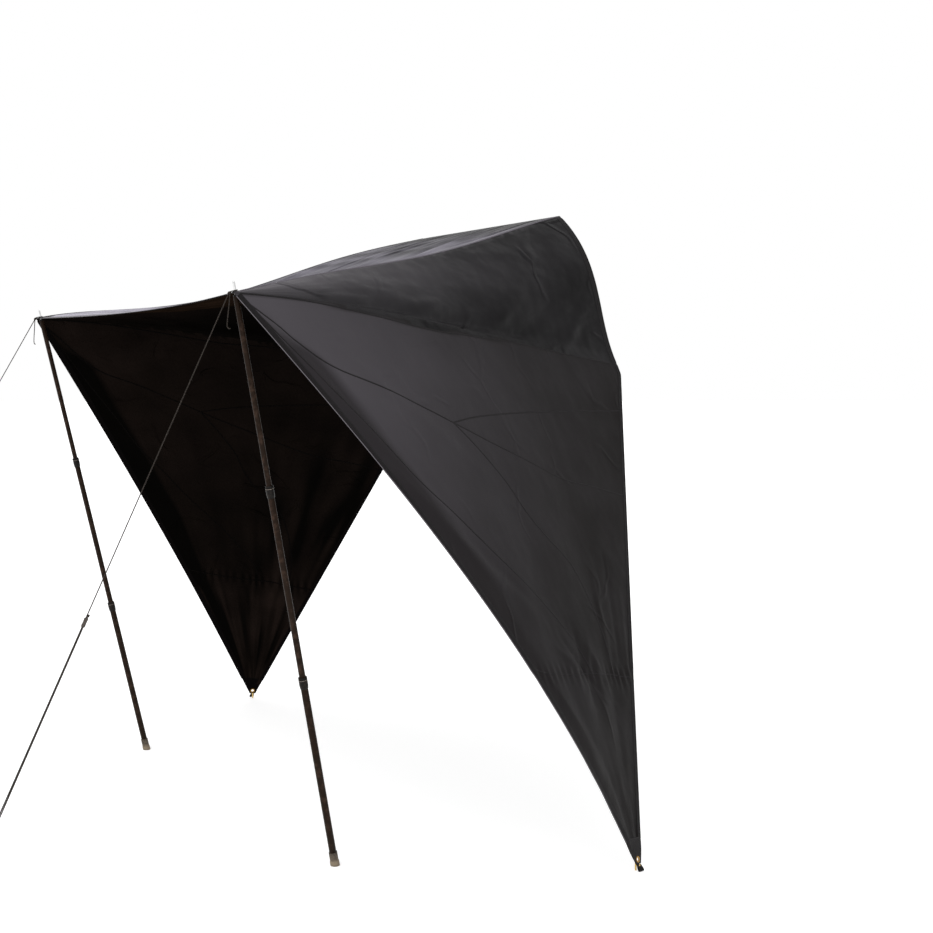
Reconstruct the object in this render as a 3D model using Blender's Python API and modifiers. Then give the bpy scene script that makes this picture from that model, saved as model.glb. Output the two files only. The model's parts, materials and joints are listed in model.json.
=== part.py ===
"""Rooftop tent awning: a peaked cloth canopy on two telescoping poles, guyed and pegged.

Metres, +Z up, ground at z = 0. The tent's end is at +Y and the poles are at -Y.
Right is +X. The origin is on the ground, at the middle of the awning without its guy ropes.
"""
import math

import bpy
import bmesh
from mathutils import Matrix, Vector

# Overall sizes
awning_depth = 1.892
pole_spacing_top = 2.026
foot_spacing = 1.781
tip_spread = 3.080
tent_edge_height = 2.374
tent_edge_width = 1.020
tent_corner_height = 1.716
tent_corner_width = 1.396
side_seam_height = 1.758
pole_corner_height = 1.972
tip_forward = 0.6256
arch_forward = 0.1781
foot_setback = 0.4087
corner_margin = 0.0158
corner_fall = 0.25
tip_edge_turn = 12.65

# Cloth
cloth_thickness = 0.0016
hem_thickness = 0.0026
patch_thickness = 0.0030
seam_gap = 0.0005
ridge_gap = 0.0009
patch_edge_gap = 0.0018
front_hem_width = 0.025
wing_hem_width = 0.022
rear_hem_width = 0.018
tape_width = 0.030
tape_thickness = 0.0030
corner_patch_size = 0.060
inner_start = 0.08
tip_width = 0.030
tip_height = 0.024
tip_patch_top = 0.955
tip_flat_from = 0.980
tip_hole_at = 0.992
gather_line = 0.675
gusset_start = 0.03
gusset_least_height = 0.004
tape_end_gap = 0.015
tape_top_gap = 0.012

# How far each free edge bows from a straight line, and where it bows most
front_edge_sag = 0.018
front_edge_hollow = 0.040
front_edge_skew = 0.14
roof_side_sag = {1: 0.030, -1: 0.065}
roof_side_skew = {1: 0.80, -1: -1.20}
roof_side_hollow = 0.030
roof_sag = 0.040
roof_sag_skew = 0.3
arch_side_bow = 0.057
arch_side_skew = 1.25
seam_bow = 0.021
seam_outward = 0.020
seam_skew = -1.2
wing_front_hollow = 0.012
wing_front_billow = 0.113
wing_billow_skew = 0.29
wing_belly = 0.012

# Soft folds: how deep, how many, and where on the wing they are centred and how far they reach
fold_depth = 0.006
roof_folds = 4
roof_fold_slant = 0.35
gusset_folds = 5
fan_folds = 6
fan_share = 0.8
fan_middle = 0.45
fan_reach = 0.22
gather_folds = 8
gather_shift = 1.0
gather_reach = 0.07

# Grommets
grommet_flange = 0.0120
grommet_bore = 0.0070
grommet_barrel = 0.0085
tip_grommet_flange = 0.0110
tip_grommet_bore = 0.0065
tip_grommet_barrel = 0.0078
grommet_wall = 0.0010
grommet_lip = 0.0008
fit_gap = 0.0003
eye_height = 0.0050
cutter_length = 0.020

# Poles
lower_radius = 0.0125
middle_radius = 0.0110
upper_radius = 0.0095
tube_wall = 0.0010
tube_clearance = 0.0005
lower_collar_station = 0.695
upper_collar_station = 1.366
tube_overlap = 0.080
collar_length = 0.030
ring_length = 0.011
flutes = 10
flute_depth = 0.0006
collar_wall = 0.0027
collar_taper = 0.012
collar_lip = 0.0008
tube_chamfer = 0.0004
foot_height = 0.042
foot_radius = 0.0165
foot_wall = 0.0022
foot_floor = 0.010
foot_chamfer = 0.0006
foot_flare_top = 0.012
foot_flare_bottom = 0.006
foot_allowance = 0.012
ground_block = 0.16
spike_radius = 0.0040
spike_neck_radius = 0.0026
spike_end_radius = 0.0012
spike_above = 0.031
spike_neck = 0.0022
spike_taper = 0.006
spike_root = 0.016
plug_length = 0.030
plug_rim = 0.004
plug_shoulder = 0.0112
plug_rise = 0.0026
expander_length = 0.014
expander_stub = 0.016
expander_play = 0.0003
expander_chamfer = 0.002

# Guy ropes, tensioners and pegs
rope_radius = 0.00175
guy_angle = 14.27
guy_run = 1.1032
strand_spacing = 0.0056
tensioner_run = 0.562
tensioner_slope = 60.93
tensioner_length = 0.028
tensioner_width = 0.0150
tensioner_thickness = 0.0080
rope_play = 0.0004
peg_radius = 0.0035
guy_peg_height = 0.034
guy_hook_radius = 0.011
guy_hook_end = 0.008
wing_hook_radius = 0.010
wing_hook_turn = 125
wing_hook_sink = 0.0022
hook_step = 20
short_span = 0.012
span_pull = 1.5

# Webbing loops at the wing tips
loop_width = 0.020
loop_strap = 0.0016
loop_length = 0.026
loop_belly = 0.0050
loop_lean = 38
loop_gap = 0.00045
loop_fullness = 1.54
loop_pinch = 0.32
loop_pinch_top = 1.3

# Rope routes, in millimetres: along the ground towards the peg from under the pole top, to the
# outer side of that line, and up from the ground. They start at the knot by the canopy's corner.
# The eye is drawn on cloth that falls by eye_fall towards the peg and rises by eye_rise outwards.
# On other cloth it tilts to match, less and less up to eye_reach from the pole top.
route_height = 1.9708
eye_fall = 0.225
eye_rise = 0.115
eye_reach = 0.060
rope_route = [
    (17.2, 2.2, 1967.2), (11.5, 2.2, 1968.5), (8.3, 2.9, 1969.3), (5.7, 4.8, 1970.1), (2.5, 6.9, 1971.0),
    (-1.2, 7.0, 1971.9), (-4.4, 5.2, 1972.4), (-6.3, 1.9, 1972.4), (-6.3, -1.9, 1972.0),
    (-4.4, -5.2, 1971.2), (-1.2, -7.0, 1970.3), (2.5, -6.9, 1969.4), (5.7, -4.8, 1969.0),
    (8.3, -2.9, 1968.6), (11.5, -2.2, 1968.0), (16.0, -2.2, 1966.9), (18.6, -2.2, 1966.0),
    (20.8, -2.2, 1964.3), (22.6, -2.2, 1962.0), (26.0, -2.2, 1955.9), (34.0, -2.2, 1941.5),
    (60.0, -2.2, 1894.7), (150.0, -2.3, 1732.9), (400.0, -2.6, 1283.4), (530.0, -2.8, 1049.6),
    (562.0, -2.8, 992.1), (592.0, -2.8, 938.1), (760.0, -2.8, 636.0), (960.0, -4.8, 276.4),
    (1060.0, -6.7, 96.6), (1090.0, -7.3, 42.7), (1101.0, -7.4, 22.9), (1105.1, -7.4, 15.5),
    (1106.9, -6.4, 12.3), (1108.2, -3.7, 9.9), (1108.7, 0.0, 9.0), (1108.2, 3.7, 9.9),
    (1106.9, 6.4, 12.3), (1105.1, 7.4, 15.5), (1101.0, 7.4, 22.9), (1090.0, 7.3, 42.7),
    (1060.0, 6.7, 96.6), (960.0, 4.8, 276.4), (760.0, 2.8, 636.0), (592.0, 2.8, 938.1),
    (562.0, 2.8, 992.1), (552.5, 2.8, 1009.1),
]
tail_route = [
    (17.7, 2.2, 1967.1), (20.0, 2.5, 1966.1), (22.2, 3.1, 1963.7), (23.6, 3.8, 1960.4), (24.4, 4.2, 1955.0),
    (25.5, 3.6, 1940.0), (27.2, 1.6, 1915.0), (28.9, -0.6, 1892.0), (30.2, -2.4, 1872.0),
    (30.4, -2.9, 1862.0), (29.8, -2.0, 1855.0), (27.6, 0.8, 1850.8), (24.6, 4.6, 1850.6),
]

parts = None
cutters = None


def clear_scene():
    for obj in list(bpy.data.objects):
        bpy.data.objects.remove(obj, do_unlink=True)


def new_collection(name):
    collection = bpy.data.collections.new(name)
    bpy.context.scene.collection.children.link(collection)
    return collection


def material(name, color, roughness, metallic=0.0):
    found = bpy.data.materials.get(name)
    if found:
        return found
    mat = bpy.data.materials.new(name)
    mat.use_nodes = True
    shader = mat.node_tree.nodes["Principled BSDF"]
    shader.inputs["Base Color"].default_value = (*color, 1.0)
    shader.inputs["Roughness"].default_value = roughness
    shader.inputs["Metallic"].default_value = metallic
    return mat


def canopy_cloth():
    return material("canopy_cloth", (0.040, 0.038, 0.042), 0.60)


def webbing():
    return material("webbing", (0.012, 0.012, 0.012), 0.80)


def brass():
    return material("brass", (0.62, 0.46, 0.20), 0.35, 1.0)


def coated_tube():
    return material("coated_tube", (0.030, 0.025, 0.022), 0.40, 0.3)


def black_plastic():
    return material("black_plastic", (0.025, 0.023, 0.023), 0.50)


def grey_plastic():
    return material("grey_plastic", (0.22, 0.21, 0.20), 0.45)


def foot_rubber():
    return material("foot_rubber", (0.20, 0.15, 0.10), 0.85)


def bright_steel():
    return material("bright_steel", (0.70, 0.70, 0.70), 0.25, 1.0)


def rope_cord():
    return material("rope_cord", (0.060, 0.048, 0.040), 0.85)


def yellow_steel():
    return material("yellow_steel", (0.60, 0.44, 0.18), 0.35, 1.0)


def side_name(base, side):
    return base + ("_right" if side > 0 else "_left")


def add_object(name, data, mat):
    obj = bpy.data.objects.new(name, data)
    data.materials.append(mat)
    parts.objects.link(obj)
    return obj


# Curves and surfaces of the cloth

def bowed(start, end, bow, skew, t):
    """A point at t along a line that bows by the vector bow at its middle, more to one end with skew."""
    return start.lerp(end, t) + bow * (4 * t * (1 - t) * (1 + skew * (2 * t - 1)))


class Frame:
    """The corners of one side of the canopy. The side is 1 for right and -1 for left."""

    def __init__(self, side):
        self.side = side
        front_y = -awning_depth / 2
        tent_y = awning_depth / 2
        self.fabric_corner = Vector((
            side * (pole_spacing_top / 2 + corner_margin),
            front_y,
            pole_corner_height - eye_height - corner_margin * corner_fall,
        ))
        self.foot = Vector((side * foot_spacing / 2, front_y + corner_margin + foot_setback, 0))
        self.arch = Vector((side * tent_edge_width / 2, tent_y - arch_forward, tent_edge_height))
        self.corner = Vector((side * tent_corner_width / 2, tent_y, tent_corner_height))
        share = (side_seam_height - tent_corner_height) / (tent_edge_height - tent_corner_height)
        self.seam_end = self.corner.lerp(self.arch, share)
        tip = Vector((side * tip_spread / 2, tent_y - tip_forward, 0))
        self.tip_rear = self.corner.lerp(tip, 1 - tip_height / tent_corner_height)
        turn = math.radians(tip_edge_turn)
        across = Vector((side * math.sin(turn), -math.cos(turn), 0))
        self.tip_front = self.tip_rear + across * tip_width


right_frame = None
left_frame = None


def frame_of(side):
    return right_frame if side > 0 else left_frame


def roof_front(u):
    bow = Vector((0, front_edge_hollow, -front_edge_sag))
    return bowed(left_frame.fabric_corner, right_frame.fabric_corner, bow, front_edge_skew, u)


def roof_rear(u):
    return left_frame.arch.lerp(right_frame.arch, u)


def roof_side(side, t):
    """From the pole corner up to the tent's top corner. It leaves both without a bend."""
    frame = frame_of(side)
    hang = math.sin(math.pi * t) ** 2 * (1 + roof_side_skew[side] * (2 * t - 1))
    drop = Vector((-side * roof_side_hollow, 0, -roof_side_sag[side])) * hang
    return frame.fabric_corner.lerp(frame.arch, t) + drop


def arch_side(side, t):
    """From the side seam up to the top corner of the tent's edge."""
    frame = frame_of(side)
    return bowed(frame.seam_end, frame.arch, Vector((side * arch_side_bow, 0, 0)), arch_side_skew, t)


def side_seam(side, t):
    """From the pole corner back to the tent's edge, between the gusset and the wing."""
    frame = frame_of(side)
    bow = Vector((side * seam_outward, 0, seam_bow))
    return bowed(frame.fabric_corner, frame.seam_end, bow, seam_skew, t)


def wing_front(side, t):
    frame = frame_of(side)
    chord = frame.tip_front - frame.fabric_corner
    normal = chord.cross(frame.corner - frame.fabric_corner).normalized()
    inward = normal.cross(chord).normalized()
    if inward.dot(frame.corner - frame.fabric_corner) < 0:
        inward = -inward
    outward = normal if normal.x * side > 0 else -normal
    hollow = inward * (wing_front_hollow * 4 * t * (1 - t))
    billow = outward * wing_front_billow
    return hollow + bowed(frame.fabric_corner, frame.tip_front, billow, wing_billow_skew, t)


def rear_turn(side):
    """Where the wing's rear edge leaves the tent's side at the tent corner, as a share of its length."""
    frame = frame_of(side)
    upper = (frame.seam_end - frame.corner).length
    return upper / (upper + (frame.tip_rear - frame.corner).length)


def wing_rear(side, t):
    """Down the tent's edge from the side seam to the tent corner, then straight to the tip."""
    frame = frame_of(side)
    turn = rear_turn(side)
    if t < turn:
        return frame.seam_end.lerp(frame.corner, t / turn)
    return frame.corner.lerp(frame.tip_rear, (t - turn) / (1 - turn))


def coons(bottom, top, left, right, u, v):
    """The point at u, v of the smooth patch between four edges that meet at their ends."""
    ruled_v = bottom(u).lerp(top(u), v)
    ruled_u = left(v).lerp(right(v), u)
    flat = bottom(0).lerp(bottom(1), u).lerp(top(0).lerp(top(1), u), v)
    return ruled_v + ruled_u - flat


def roof_surface(u, v):
    point = coons(roof_front, roof_rear, lambda t: roof_side(-1, t), lambda t: roof_side(1, t), u, v)
    belly = 16 * u * (1 - u) * v * (1 - v) * (1 + roof_sag_skew * (1 - 2 * v))
    point.z -= roof_sag * belly
    crease = math.sin(math.pi * u) ** 2 * math.sin(math.pi * v) ** 2
    point.z += fold_depth * crease * math.sin(roof_folds * math.pi * (u + roof_fold_slant * v))
    return point


def gusset_surface(side, u, v):
    """u runs back from the pole corner, v up from the side seam to the roof."""
    corner = frame_of(side).fabric_corner
    point = coons(
        lambda t: side_seam(side, t),
        lambda t: roof_side(side, t),
        lambda t: corner.copy(),
        lambda t: arch_side(side, t),
        u, v,
    )
    dip = math.sin(math.pi * u) ** 2 * math.sin(math.pi * v)
    point.x -= side * dip * fold_depth * (1 + math.sin(gusset_folds * math.pi * u))
    return point


def wing_surface(side, u, v):
    """u runs back from the front edge, v down from the side seam to the tip."""
    frame = frame_of(side)
    point = coons(
        lambda t: side_seam(side, t),
        lambda t: frame.tip_front.lerp(frame.tip_rear, t),
        lambda t: wing_front(side, t),
        lambda t: wing_rear(side, t),
        u, v,
    )
    belly = 16 * u * (1 - u) * v * (1 - v)
    edges = math.sin(math.pi * u)
    fan = math.exp(-((v - fan_middle) / fan_reach) ** 2) * math.sin(fan_folds * math.pi * u)
    gather = math.exp(-((v - gather_line) / gather_reach) ** 2)
    gather *= math.sin(gather_folds * math.pi * u + gather_shift)
    sway = wing_belly * belly + fold_depth * edges * (fan_share * fan + gather)
    point.x -= side * sway
    return point


def surface_normal(surface, u, v):
    step = 0.002
    along = surface(min(u + step, 1), v) - surface(max(u - step, 0), v)
    down = surface(u, min(v + step, 1)) - surface(u, max(v - step, 0))
    return along.cross(down).normalized()


def steps_between(low, high, count):
    return [low + (high - low) * i / count for i in range(count + 1)]


def cloth_piece(name, surface, columns, rows, thickness, mat, drop_cell=None):
    """A grid laid on the surface and thickened. drop_cell says which cells are left out."""
    bm = bmesh.new()
    across = len(columns) - 1
    down = len(rows) - 1
    bmesh.ops.create_grid(bm, x_segments=across, y_segments=down, size=0.5)
    places = {}
    for vert in bm.verts:
        i = round((vert.co.x + 0.5) * across)
        j = round((vert.co.y + 0.5) * down)
        places[vert] = (i, j)
    if drop_cell:
        lost = []
        for face in bm.faces:
            i = min(places[v][0] for v in face.verts)
            j = min(places[v][1] for v in face.verts)
            if drop_cell(i, j):
                lost.append(face)
        bmesh.ops.delete(bm, geom=lost, context="FACES")
    for vert in bm.verts:
        i, j = places[vert]
        vert.co = surface(columns[i], rows[j])
    mesh = bpy.data.meshes.new(name)
    bm.to_mesh(mesh)
    bm.free()
    mesh.shade_smooth()
    obj = add_object(name, mesh, mat)
    wall = obj.modifiers.new("Wall", "SOLIDIFY")
    wall.thickness = thickness
    wall.offset = 0
    return obj


def cutter_cylinder(name, radius, centre, axis):
    bm = bmesh.new()
    turn = axis.to_track_quat("Z", "Y").to_matrix().to_4x4()
    bmesh.ops.create_cone(
        bm, cap_ends=True, segments=32, radius1=radius, radius2=radius, depth=cutter_length,
        matrix=Matrix.Translation(centre) @ turn,
    )
    mesh = bpy.data.meshes.new(name)
    bm.to_mesh(mesh)
    bm.free()
    obj = bpy.data.objects.new(name, mesh)
    cutters.objects.link(obj)
    obj.hide_render = True
    obj.display_type = "WIRE"
    return obj


def cut(obj, cutter):
    boolean = obj.modifiers.new("Cut", "BOOLEAN")
    boolean.operation = "DIFFERENCE"
    boolean.object = cutter


# Panels

def make_roof():
    width = pole_spacing_top + 2 * corner_margin
    length = (right_frame.arch - right_frame.fabric_corner).length
    patch_u = corner_patch_size / width
    patch_v = corner_patch_size / length
    hem_v = front_hem_width / length
    gap_u = seam_gap / width
    gap_v = seam_gap / length
    front_u = ridge_gap / width
    columns = [front_u, patch_u + gap_u] + steps_between(inner_start, 1 - inner_start, 15)
    columns += [1 - patch_u - gap_u, 1 - front_u]
    rows = [hem_v + gap_v, patch_v + gap_v] + steps_between(inner_start, 1 - ridge_gap / length, 16)
    last = len(columns) - 2

    def corner_cell(i, j):
        return j == 0 and i in (0, last)

    cloth_piece("roof_panel", roof_surface, columns, rows, cloth_thickness, canopy_cloth(), corner_cell)
    hem_columns = steps_between(patch_u + gap_u, 1 - patch_u - gap_u, 24)
    hem_rows = [0.0, hem_v - gap_v]
    cloth_piece("roof_front_hem", roof_surface, hem_columns, hem_rows, hem_thickness, webbing())
    for side in (1, -1):
        low, high = patch_edge_gap / width, patch_u - gap_u
        if side > 0:
            low, high = 1 - high, 1 - low
        patch_columns = steps_between(low, high, 3)
        patch_rows = steps_between(0.0, patch_v - gap_v, 3)
        name = side_name("pole_corner_patch", side)
        patch = cloth_piece(name, roof_surface, patch_columns, patch_rows, patch_thickness, webbing())
        centre, normal = corner_hole(side)
        cut(patch, cutter_cylinder(name + "_hole", grommet_barrel + fit_gap, centre, normal))


def corner_hole(side):
    """The middle of the pole corner's hole and the patch's upward normal there."""
    width = pole_spacing_top + 2 * corner_margin
    length = (right_frame.arch - right_frame.fabric_corner).length
    u = corner_margin / width
    if side > 0:
        u = 1 - u
    v = corner_margin / length
    normal = surface_normal(roof_surface, u, v)
    if normal.z < 0:
        normal = -normal
    return roof_surface(u, v), normal


def fold_gap(side, u):
    """The gusset's half of the gap at the side seam, wider where the seam folds sharply."""
    gusset = surface_normal(lambda a, b: gusset_surface(side, a, b), u, 0)
    wing = surface_normal(lambda a, b: wing_surface(side, a, b), u, 0)
    half_fold = gusset.angle(-wing) / 2
    return max(seam_gap, cloth_thickness * math.tan(half_fold) + fit_gap - seam_gap)


def make_gusset(side):
    length = (frame_of(side).seam_end - frame_of(side).fabric_corner).length
    tape_u = tape_width / length
    gap_u = seam_gap / length
    rear_height = (frame_of(side).arch - frame_of(side).seam_end).length

    def inset_surface(u, v):
        height = (gusset_surface(side, u, 1) - gusset_surface(side, u, 0)).length
        height = max(height, gusset_least_height)
        low = fold_gap(side, u) / height
        high = 1 - ridge_gap / height
        return gusset_surface(side, u, low + (high - low) * v)

    columns = steps_between(gusset_start, 1 - tape_u - gap_u, 15)
    rows = steps_between(0, 1, 8)
    cloth_piece(side_name("gusset", side), inset_surface, columns, rows, cloth_thickness, canopy_cloth())
    tape_rows = rows[:-1] + [1 - tape_top_gap / rear_height]
    cloth_piece(
        side_name("tent_edge_tape", side), inset_surface, [1 - tape_u + gap_u, 1.0], tape_rows,
        tape_thickness, webbing(),
    )


def make_wing(side):
    def width_at(v):
        return (wing_surface(side, 1, v) - wing_surface(side, 0, v)).length

    length = (frame_of(side).tip_rear - frame_of(side).corner).length
    gap_v = seam_gap / length

    def panel(u, v):
        width = width_at(v)
        low = (wing_hem_width + seam_gap) / width
        high = 1 - (rear_hem_width + seam_gap) / width
        return wing_surface(side, low + (high - low) * u, v)

    def front_hem(u, v):
        return wing_surface(side, u * (wing_hem_width - seam_gap) / width_at(v), v)

    def rear_hem(u, v):
        start = 1 - (rear_hem_width - seam_gap) / width_at(v)
        return wing_surface(side, start + (1 - start) * u, v)

    centre, normal = tip_hole(side)

    def tip_panel(u, v):
        """The wing's surface, pressed flat round the grommet."""
        point = wing_surface(side, u, v)
        share = min((v - tip_patch_top) / (tip_flat_from - tip_patch_top), 1)
        return point - normal * ((point - centre).dot(normal) * share)

    columns = steps_between(0, 1, 14)
    turn = rear_turn(side)
    upper_rows = [gap_v] + steps_between(turn, gather_line - gap_v, 15)
    lower_rows = steps_between(gather_line + gap_v, tip_patch_top - gap_v, 7)
    cloth = canopy_cloth()
    cloth_piece(side_name("wing_upper", side), panel, columns, upper_rows, cloth_thickness, cloth)
    cloth_piece(side_name("wing_lower", side), panel, columns, lower_rows, cloth_thickness, cloth)
    hem_rows = [patch_edge_gap / length] + steps_between(turn, tip_patch_top - gap_v, 30)
    cloth_piece(side_name("wing_front_hem", side), front_hem, [0, 1], hem_rows, hem_thickness, webbing())
    cloth_piece(side_name("wing_rear_hem", side), rear_hem, [0, 1], hem_rows, hem_thickness, webbing())
    patch = cloth_piece(
        side_name("wing_tip_patch", side), tip_panel, steps_between(0, 1, 3),
        [tip_patch_top + gap_v, (tip_patch_top + tip_flat_from) / 2, tip_flat_from, 1], patch_thickness,
        webbing(),
    )
    cut(patch, cutter_cylinder(patch.name + "_hole", tip_grommet_barrel + fit_gap, centre, normal))


def tip_hole(side):
    """The middle of the tip's hole and the wing's outward normal there."""
    def surface(u, v):
        return wing_surface(side, u, v)

    normal = surface_normal(surface, 0.5, tip_hole_at)
    if normal.x * side < 0:
        normal = -normal
    return surface(0.5, tip_hole_at), normal


def make_top_tape():
    """A flat tape in the plane of the tent's end, under the roof's rear edge."""
    width = tent_edge_width - 2 * tape_end_gap
    slope = right_frame.corner - right_frame.arch
    down = Vector((0, slope.y, slope.z)).normalized()
    outward = Vector((1, 0, 0)).cross(down).normalized()
    if outward.y < 0:
        outward = -outward
    top = Vector((0, right_frame.arch.y, right_frame.arch.z))
    centre = top + down * (tape_width / 2 + ridge_gap + fit_gap)
    bm = bmesh.new()
    bmesh.ops.create_cube(bm, size=1.0)
    basis = Matrix((Vector((1, 0, 0)), down, outward)).transposed().to_4x4()
    shape = Matrix.Diagonal((width, tape_width, tape_thickness, 1))
    bmesh.ops.transform(bm, verts=bm.verts, matrix=Matrix.Translation(centre) @ basis @ shape)
    bmesh.ops.recalc_face_normals(bm, faces=bm.faces)
    mesh = bpy.data.meshes.new("tent_edge_tape_top")
    bm.to_mesh(mesh)
    bm.free()
    add_object("tent_edge_tape_top", mesh, webbing())


# Turned pieces

def turned(name, profile, mat, ring=False, steps=20):
    """A profile of (radius, height) points turned about Z, outer side first, from top to bottom."""
    mesh = bpy.data.meshes.new(name)
    count = len(profile)
    edges = [(i, i + 1) for i in range(count - 1)]
    if ring:
        edges.append((count - 1, 0))
    mesh.from_pydata([(radius, 0, height) for radius, height in profile], edges, [])
    obj = add_object(name, mesh, mat)
    screw = obj.modifiers.new("Turn", "SCREW")
    screw.steps = steps
    screw.render_steps = steps
    screw.use_merge_vertices = True
    screw.merge_threshold = 0.00001
    screw.use_smooth_shade = True
    return obj


def tube_profile(outer, inner, bottom, top):
    rim = outer - tube_chamfer
    return [
        (rim, top), (outer, top - tube_chamfer), (outer, bottom + tube_chamfer),
        (rim, bottom), (inner, bottom), (inner, top),
    ]


def empty_along(name, place, axis):
    """An empty at a place, its Z along the axis."""
    empty = bpy.data.objects.new(name, None)
    empty.empty_display_size = 0.05
    parts.objects.link(empty)
    empty.location = place
    empty.rotation_mode = "QUATERNION"
    empty.rotation_quaternion = axis.to_track_quat("Z", "Y")
    return empty


def hang_on(obj, empty, height=0.0):
    obj.parent = empty
    obj.location = (0, 0, height)


def grommet_profile(flange, bore, barrel, sheet):
    reach = sheet / 2 + fit_gap
    top = reach + grommet_wall
    mouth = bore + grommet_lip
    return [
        (flange, top), (flange, reach), (barrel, reach), (barrel, -reach), (flange, -reach),
        (flange, -top), (mouth, -top), (bore, -reach), (bore, reach), (mouth, top),
    ]


def make_grommets(side):
    centre, normal = corner_hole(side)
    profile = grommet_profile(grommet_flange, grommet_bore, grommet_barrel, patch_thickness)
    ring = turned(side_name("corner_grommet", side), profile, brass(), True)
    hang_on(ring, empty_along(side_name("corner_grommet_axis", side), centre, normal))
    centre, normal = tip_hole(side)
    profile = grommet_profile(tip_grommet_flange, tip_grommet_bore, tip_grommet_barrel, patch_thickness)
    ring = turned(side_name("wing_tip_grommet", side), profile, brass(), True)
    hang_on(ring, empty_along(side_name("wing_tip_grommet_axis", side), centre, normal))


# Flat outlines given a thickness

def circle_outline(radius, count, centre=(0.0, 0.0)):
    found = []
    for i in range(count):
        angle = 2 * math.pi * i / count
        found.append((centre[0] + radius * math.cos(angle), centre[1] + radius * math.sin(angle)))
    return found


def extruded(name, outlines, length, mat):
    """Closed outlines, the outer one first and then its holes, extruded both ways along Z."""
    curve = bpy.data.curves.new(name, "CURVE")
    curve.dimensions = "2D"
    curve.fill_mode = "BOTH"
    for outline in outlines:
        spline = curve.splines.new("POLY")
        spline.points.add(len(outline) - 1)
        for point, (x, y) in zip(spline.points, outline):
            point.co = (x, y, 0, 1)
        spline.use_cyclic_u = True
    curve.extrude = length / 2
    return add_object(name, curve, mat)


# Poles

def lock_ring(name, bore, outer, length, mat):
    """A ring with a fluted grip, extruded from its outline."""
    corners = flutes * 4
    grip = []
    for i in range(corners):
        angle = 2 * math.pi * i / corners
        radius = outer - (flute_depth if i % 4 in (2, 3) else 0.0)
        grip.append((radius * math.cos(angle), radius * math.sin(angle)))
    hole = circle_outline(bore, 20)
    return extruded(name, [grip, hole], length, mat)


def pole_pivot(side):
    """Where the pole tilts: the middle of the rope's eye, just above the grommet."""
    centre, normal = corner_hole(side)
    return centre + normal * eye_height


def make_pole(side):
    foot = frame_of(side).foot
    pivot = pole_pivot(side)
    axis = (pivot - foot).normalized()
    length = (pivot - foot).length
    empty = empty_along(side_name("pole_axis", side), pivot, axis)
    lower_top = lower_collar_station - length
    upper_top = upper_collar_station - length
    tube_foot = -length + foot_floor

    def named(base):
        return side_name(base, side)

    shoulder = -plug_shoulder
    plug_bottom = shoulder - plug_rise
    spike = turned(named("spike"), [
        (0, spike_above), (spike_end_radius, spike_above), (spike_neck_radius, spike_above - spike_neck),
        (spike_radius, spike_above - spike_taper), (spike_radius, shoulder - spike_root),
        (0, shoulder - spike_root),
    ], bright_steel(), steps=16)
    hang_on(spike, empty)
    bore = spike_radius + fit_gap
    inner = upper_radius - tube_wall
    stub = inner - fit_gap
    skirt = plug_bottom - plug_rim
    plug = turned(named("top_plug"), [
        (bore, shoulder), (upper_radius, plug_bottom), (upper_radius, skirt),
        (stub, skirt), (stub, skirt - plug_length), (0, skirt - plug_length),
        (0, shoulder - spike_root - fit_gap), (bore, shoulder - spike_root - fit_gap),
    ], black_plastic(), True)
    hang_on(plug, empty)

    upper_end = upper_top - tube_overlap
    upper = turned(named("upper_tube"), tube_profile(upper_radius, inner, upper_end, skirt - fit_gap),
                   coated_tube(), True)
    hang_on(upper, empty)
    make_expander(named("upper_expander"), middle_radius - tube_wall, stub, upper_end, empty)

    middle_inner = middle_radius - tube_wall
    middle_end = lower_top - tube_overlap
    middle = turned(named("middle_tube"), tube_profile(middle_radius, middle_inner, middle_end, upper_top),
                    coated_tube(), True)
    hang_on(middle, empty)
    make_expander(named("middle_expander"), lower_radius - tube_wall, middle_inner - fit_gap, middle_end,
                  empty)
    make_collar(named("upper_collar"), middle_radius, upper_top, empty)
    ring = lock_ring(named("upper_lock_ring"), upper_radius + tube_clearance, middle_radius + collar_wall,
                     ring_length, black_plastic())
    hang_on(ring, empty, upper_top + fit_gap + ring_length / 2)

    lower_inner = lower_radius - tube_wall
    lower = turned(named("lower_tube"), tube_profile(lower_radius, lower_inner, tube_foot, lower_top),
                   coated_tube(), True)
    hang_on(lower, empty)
    make_collar(named("lower_collar"), lower_radius, lower_top, empty)
    ring = lock_ring(named("lower_lock_ring"), middle_radius + tube_clearance, lower_radius + collar_wall,
                     ring_length, black_plastic())
    hang_on(ring, empty, lower_top + fit_gap + ring_length / 2)
    make_foot(named("foot"), tube_foot, length, empty)


def make_expander(name, bore, stub, tube_end, empty):
    """The plug in the lower end of an inner tube. Its head guides the tube in the one outside it."""
    head = bore - expander_play
    top = tube_end - fit_gap
    bottom = top - expander_length
    plug = turned(name, [
        (0, top + expander_stub), (stub, top + expander_stub), (stub, top), (head, top),
        (head, bottom + expander_chamfer), (head - expander_chamfer, bottom), (0, bottom),
    ], black_plastic(), steps=16)
    hang_on(plug, empty)


def make_collar(name, radius, top, empty):
    """A sleeve round the upper end of an outer tube, tapered at its foot."""
    bore = radius + fit_gap
    outer = radius + collar_wall
    bottom = top - collar_length
    sleeve = turned(name, [
        (outer, top), (outer, bottom + collar_taper), (bore + collar_lip, bottom), (bore, bottom),
        (bore, top),
    ], black_plastic(), True)
    hang_on(sleeve, empty)


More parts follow.
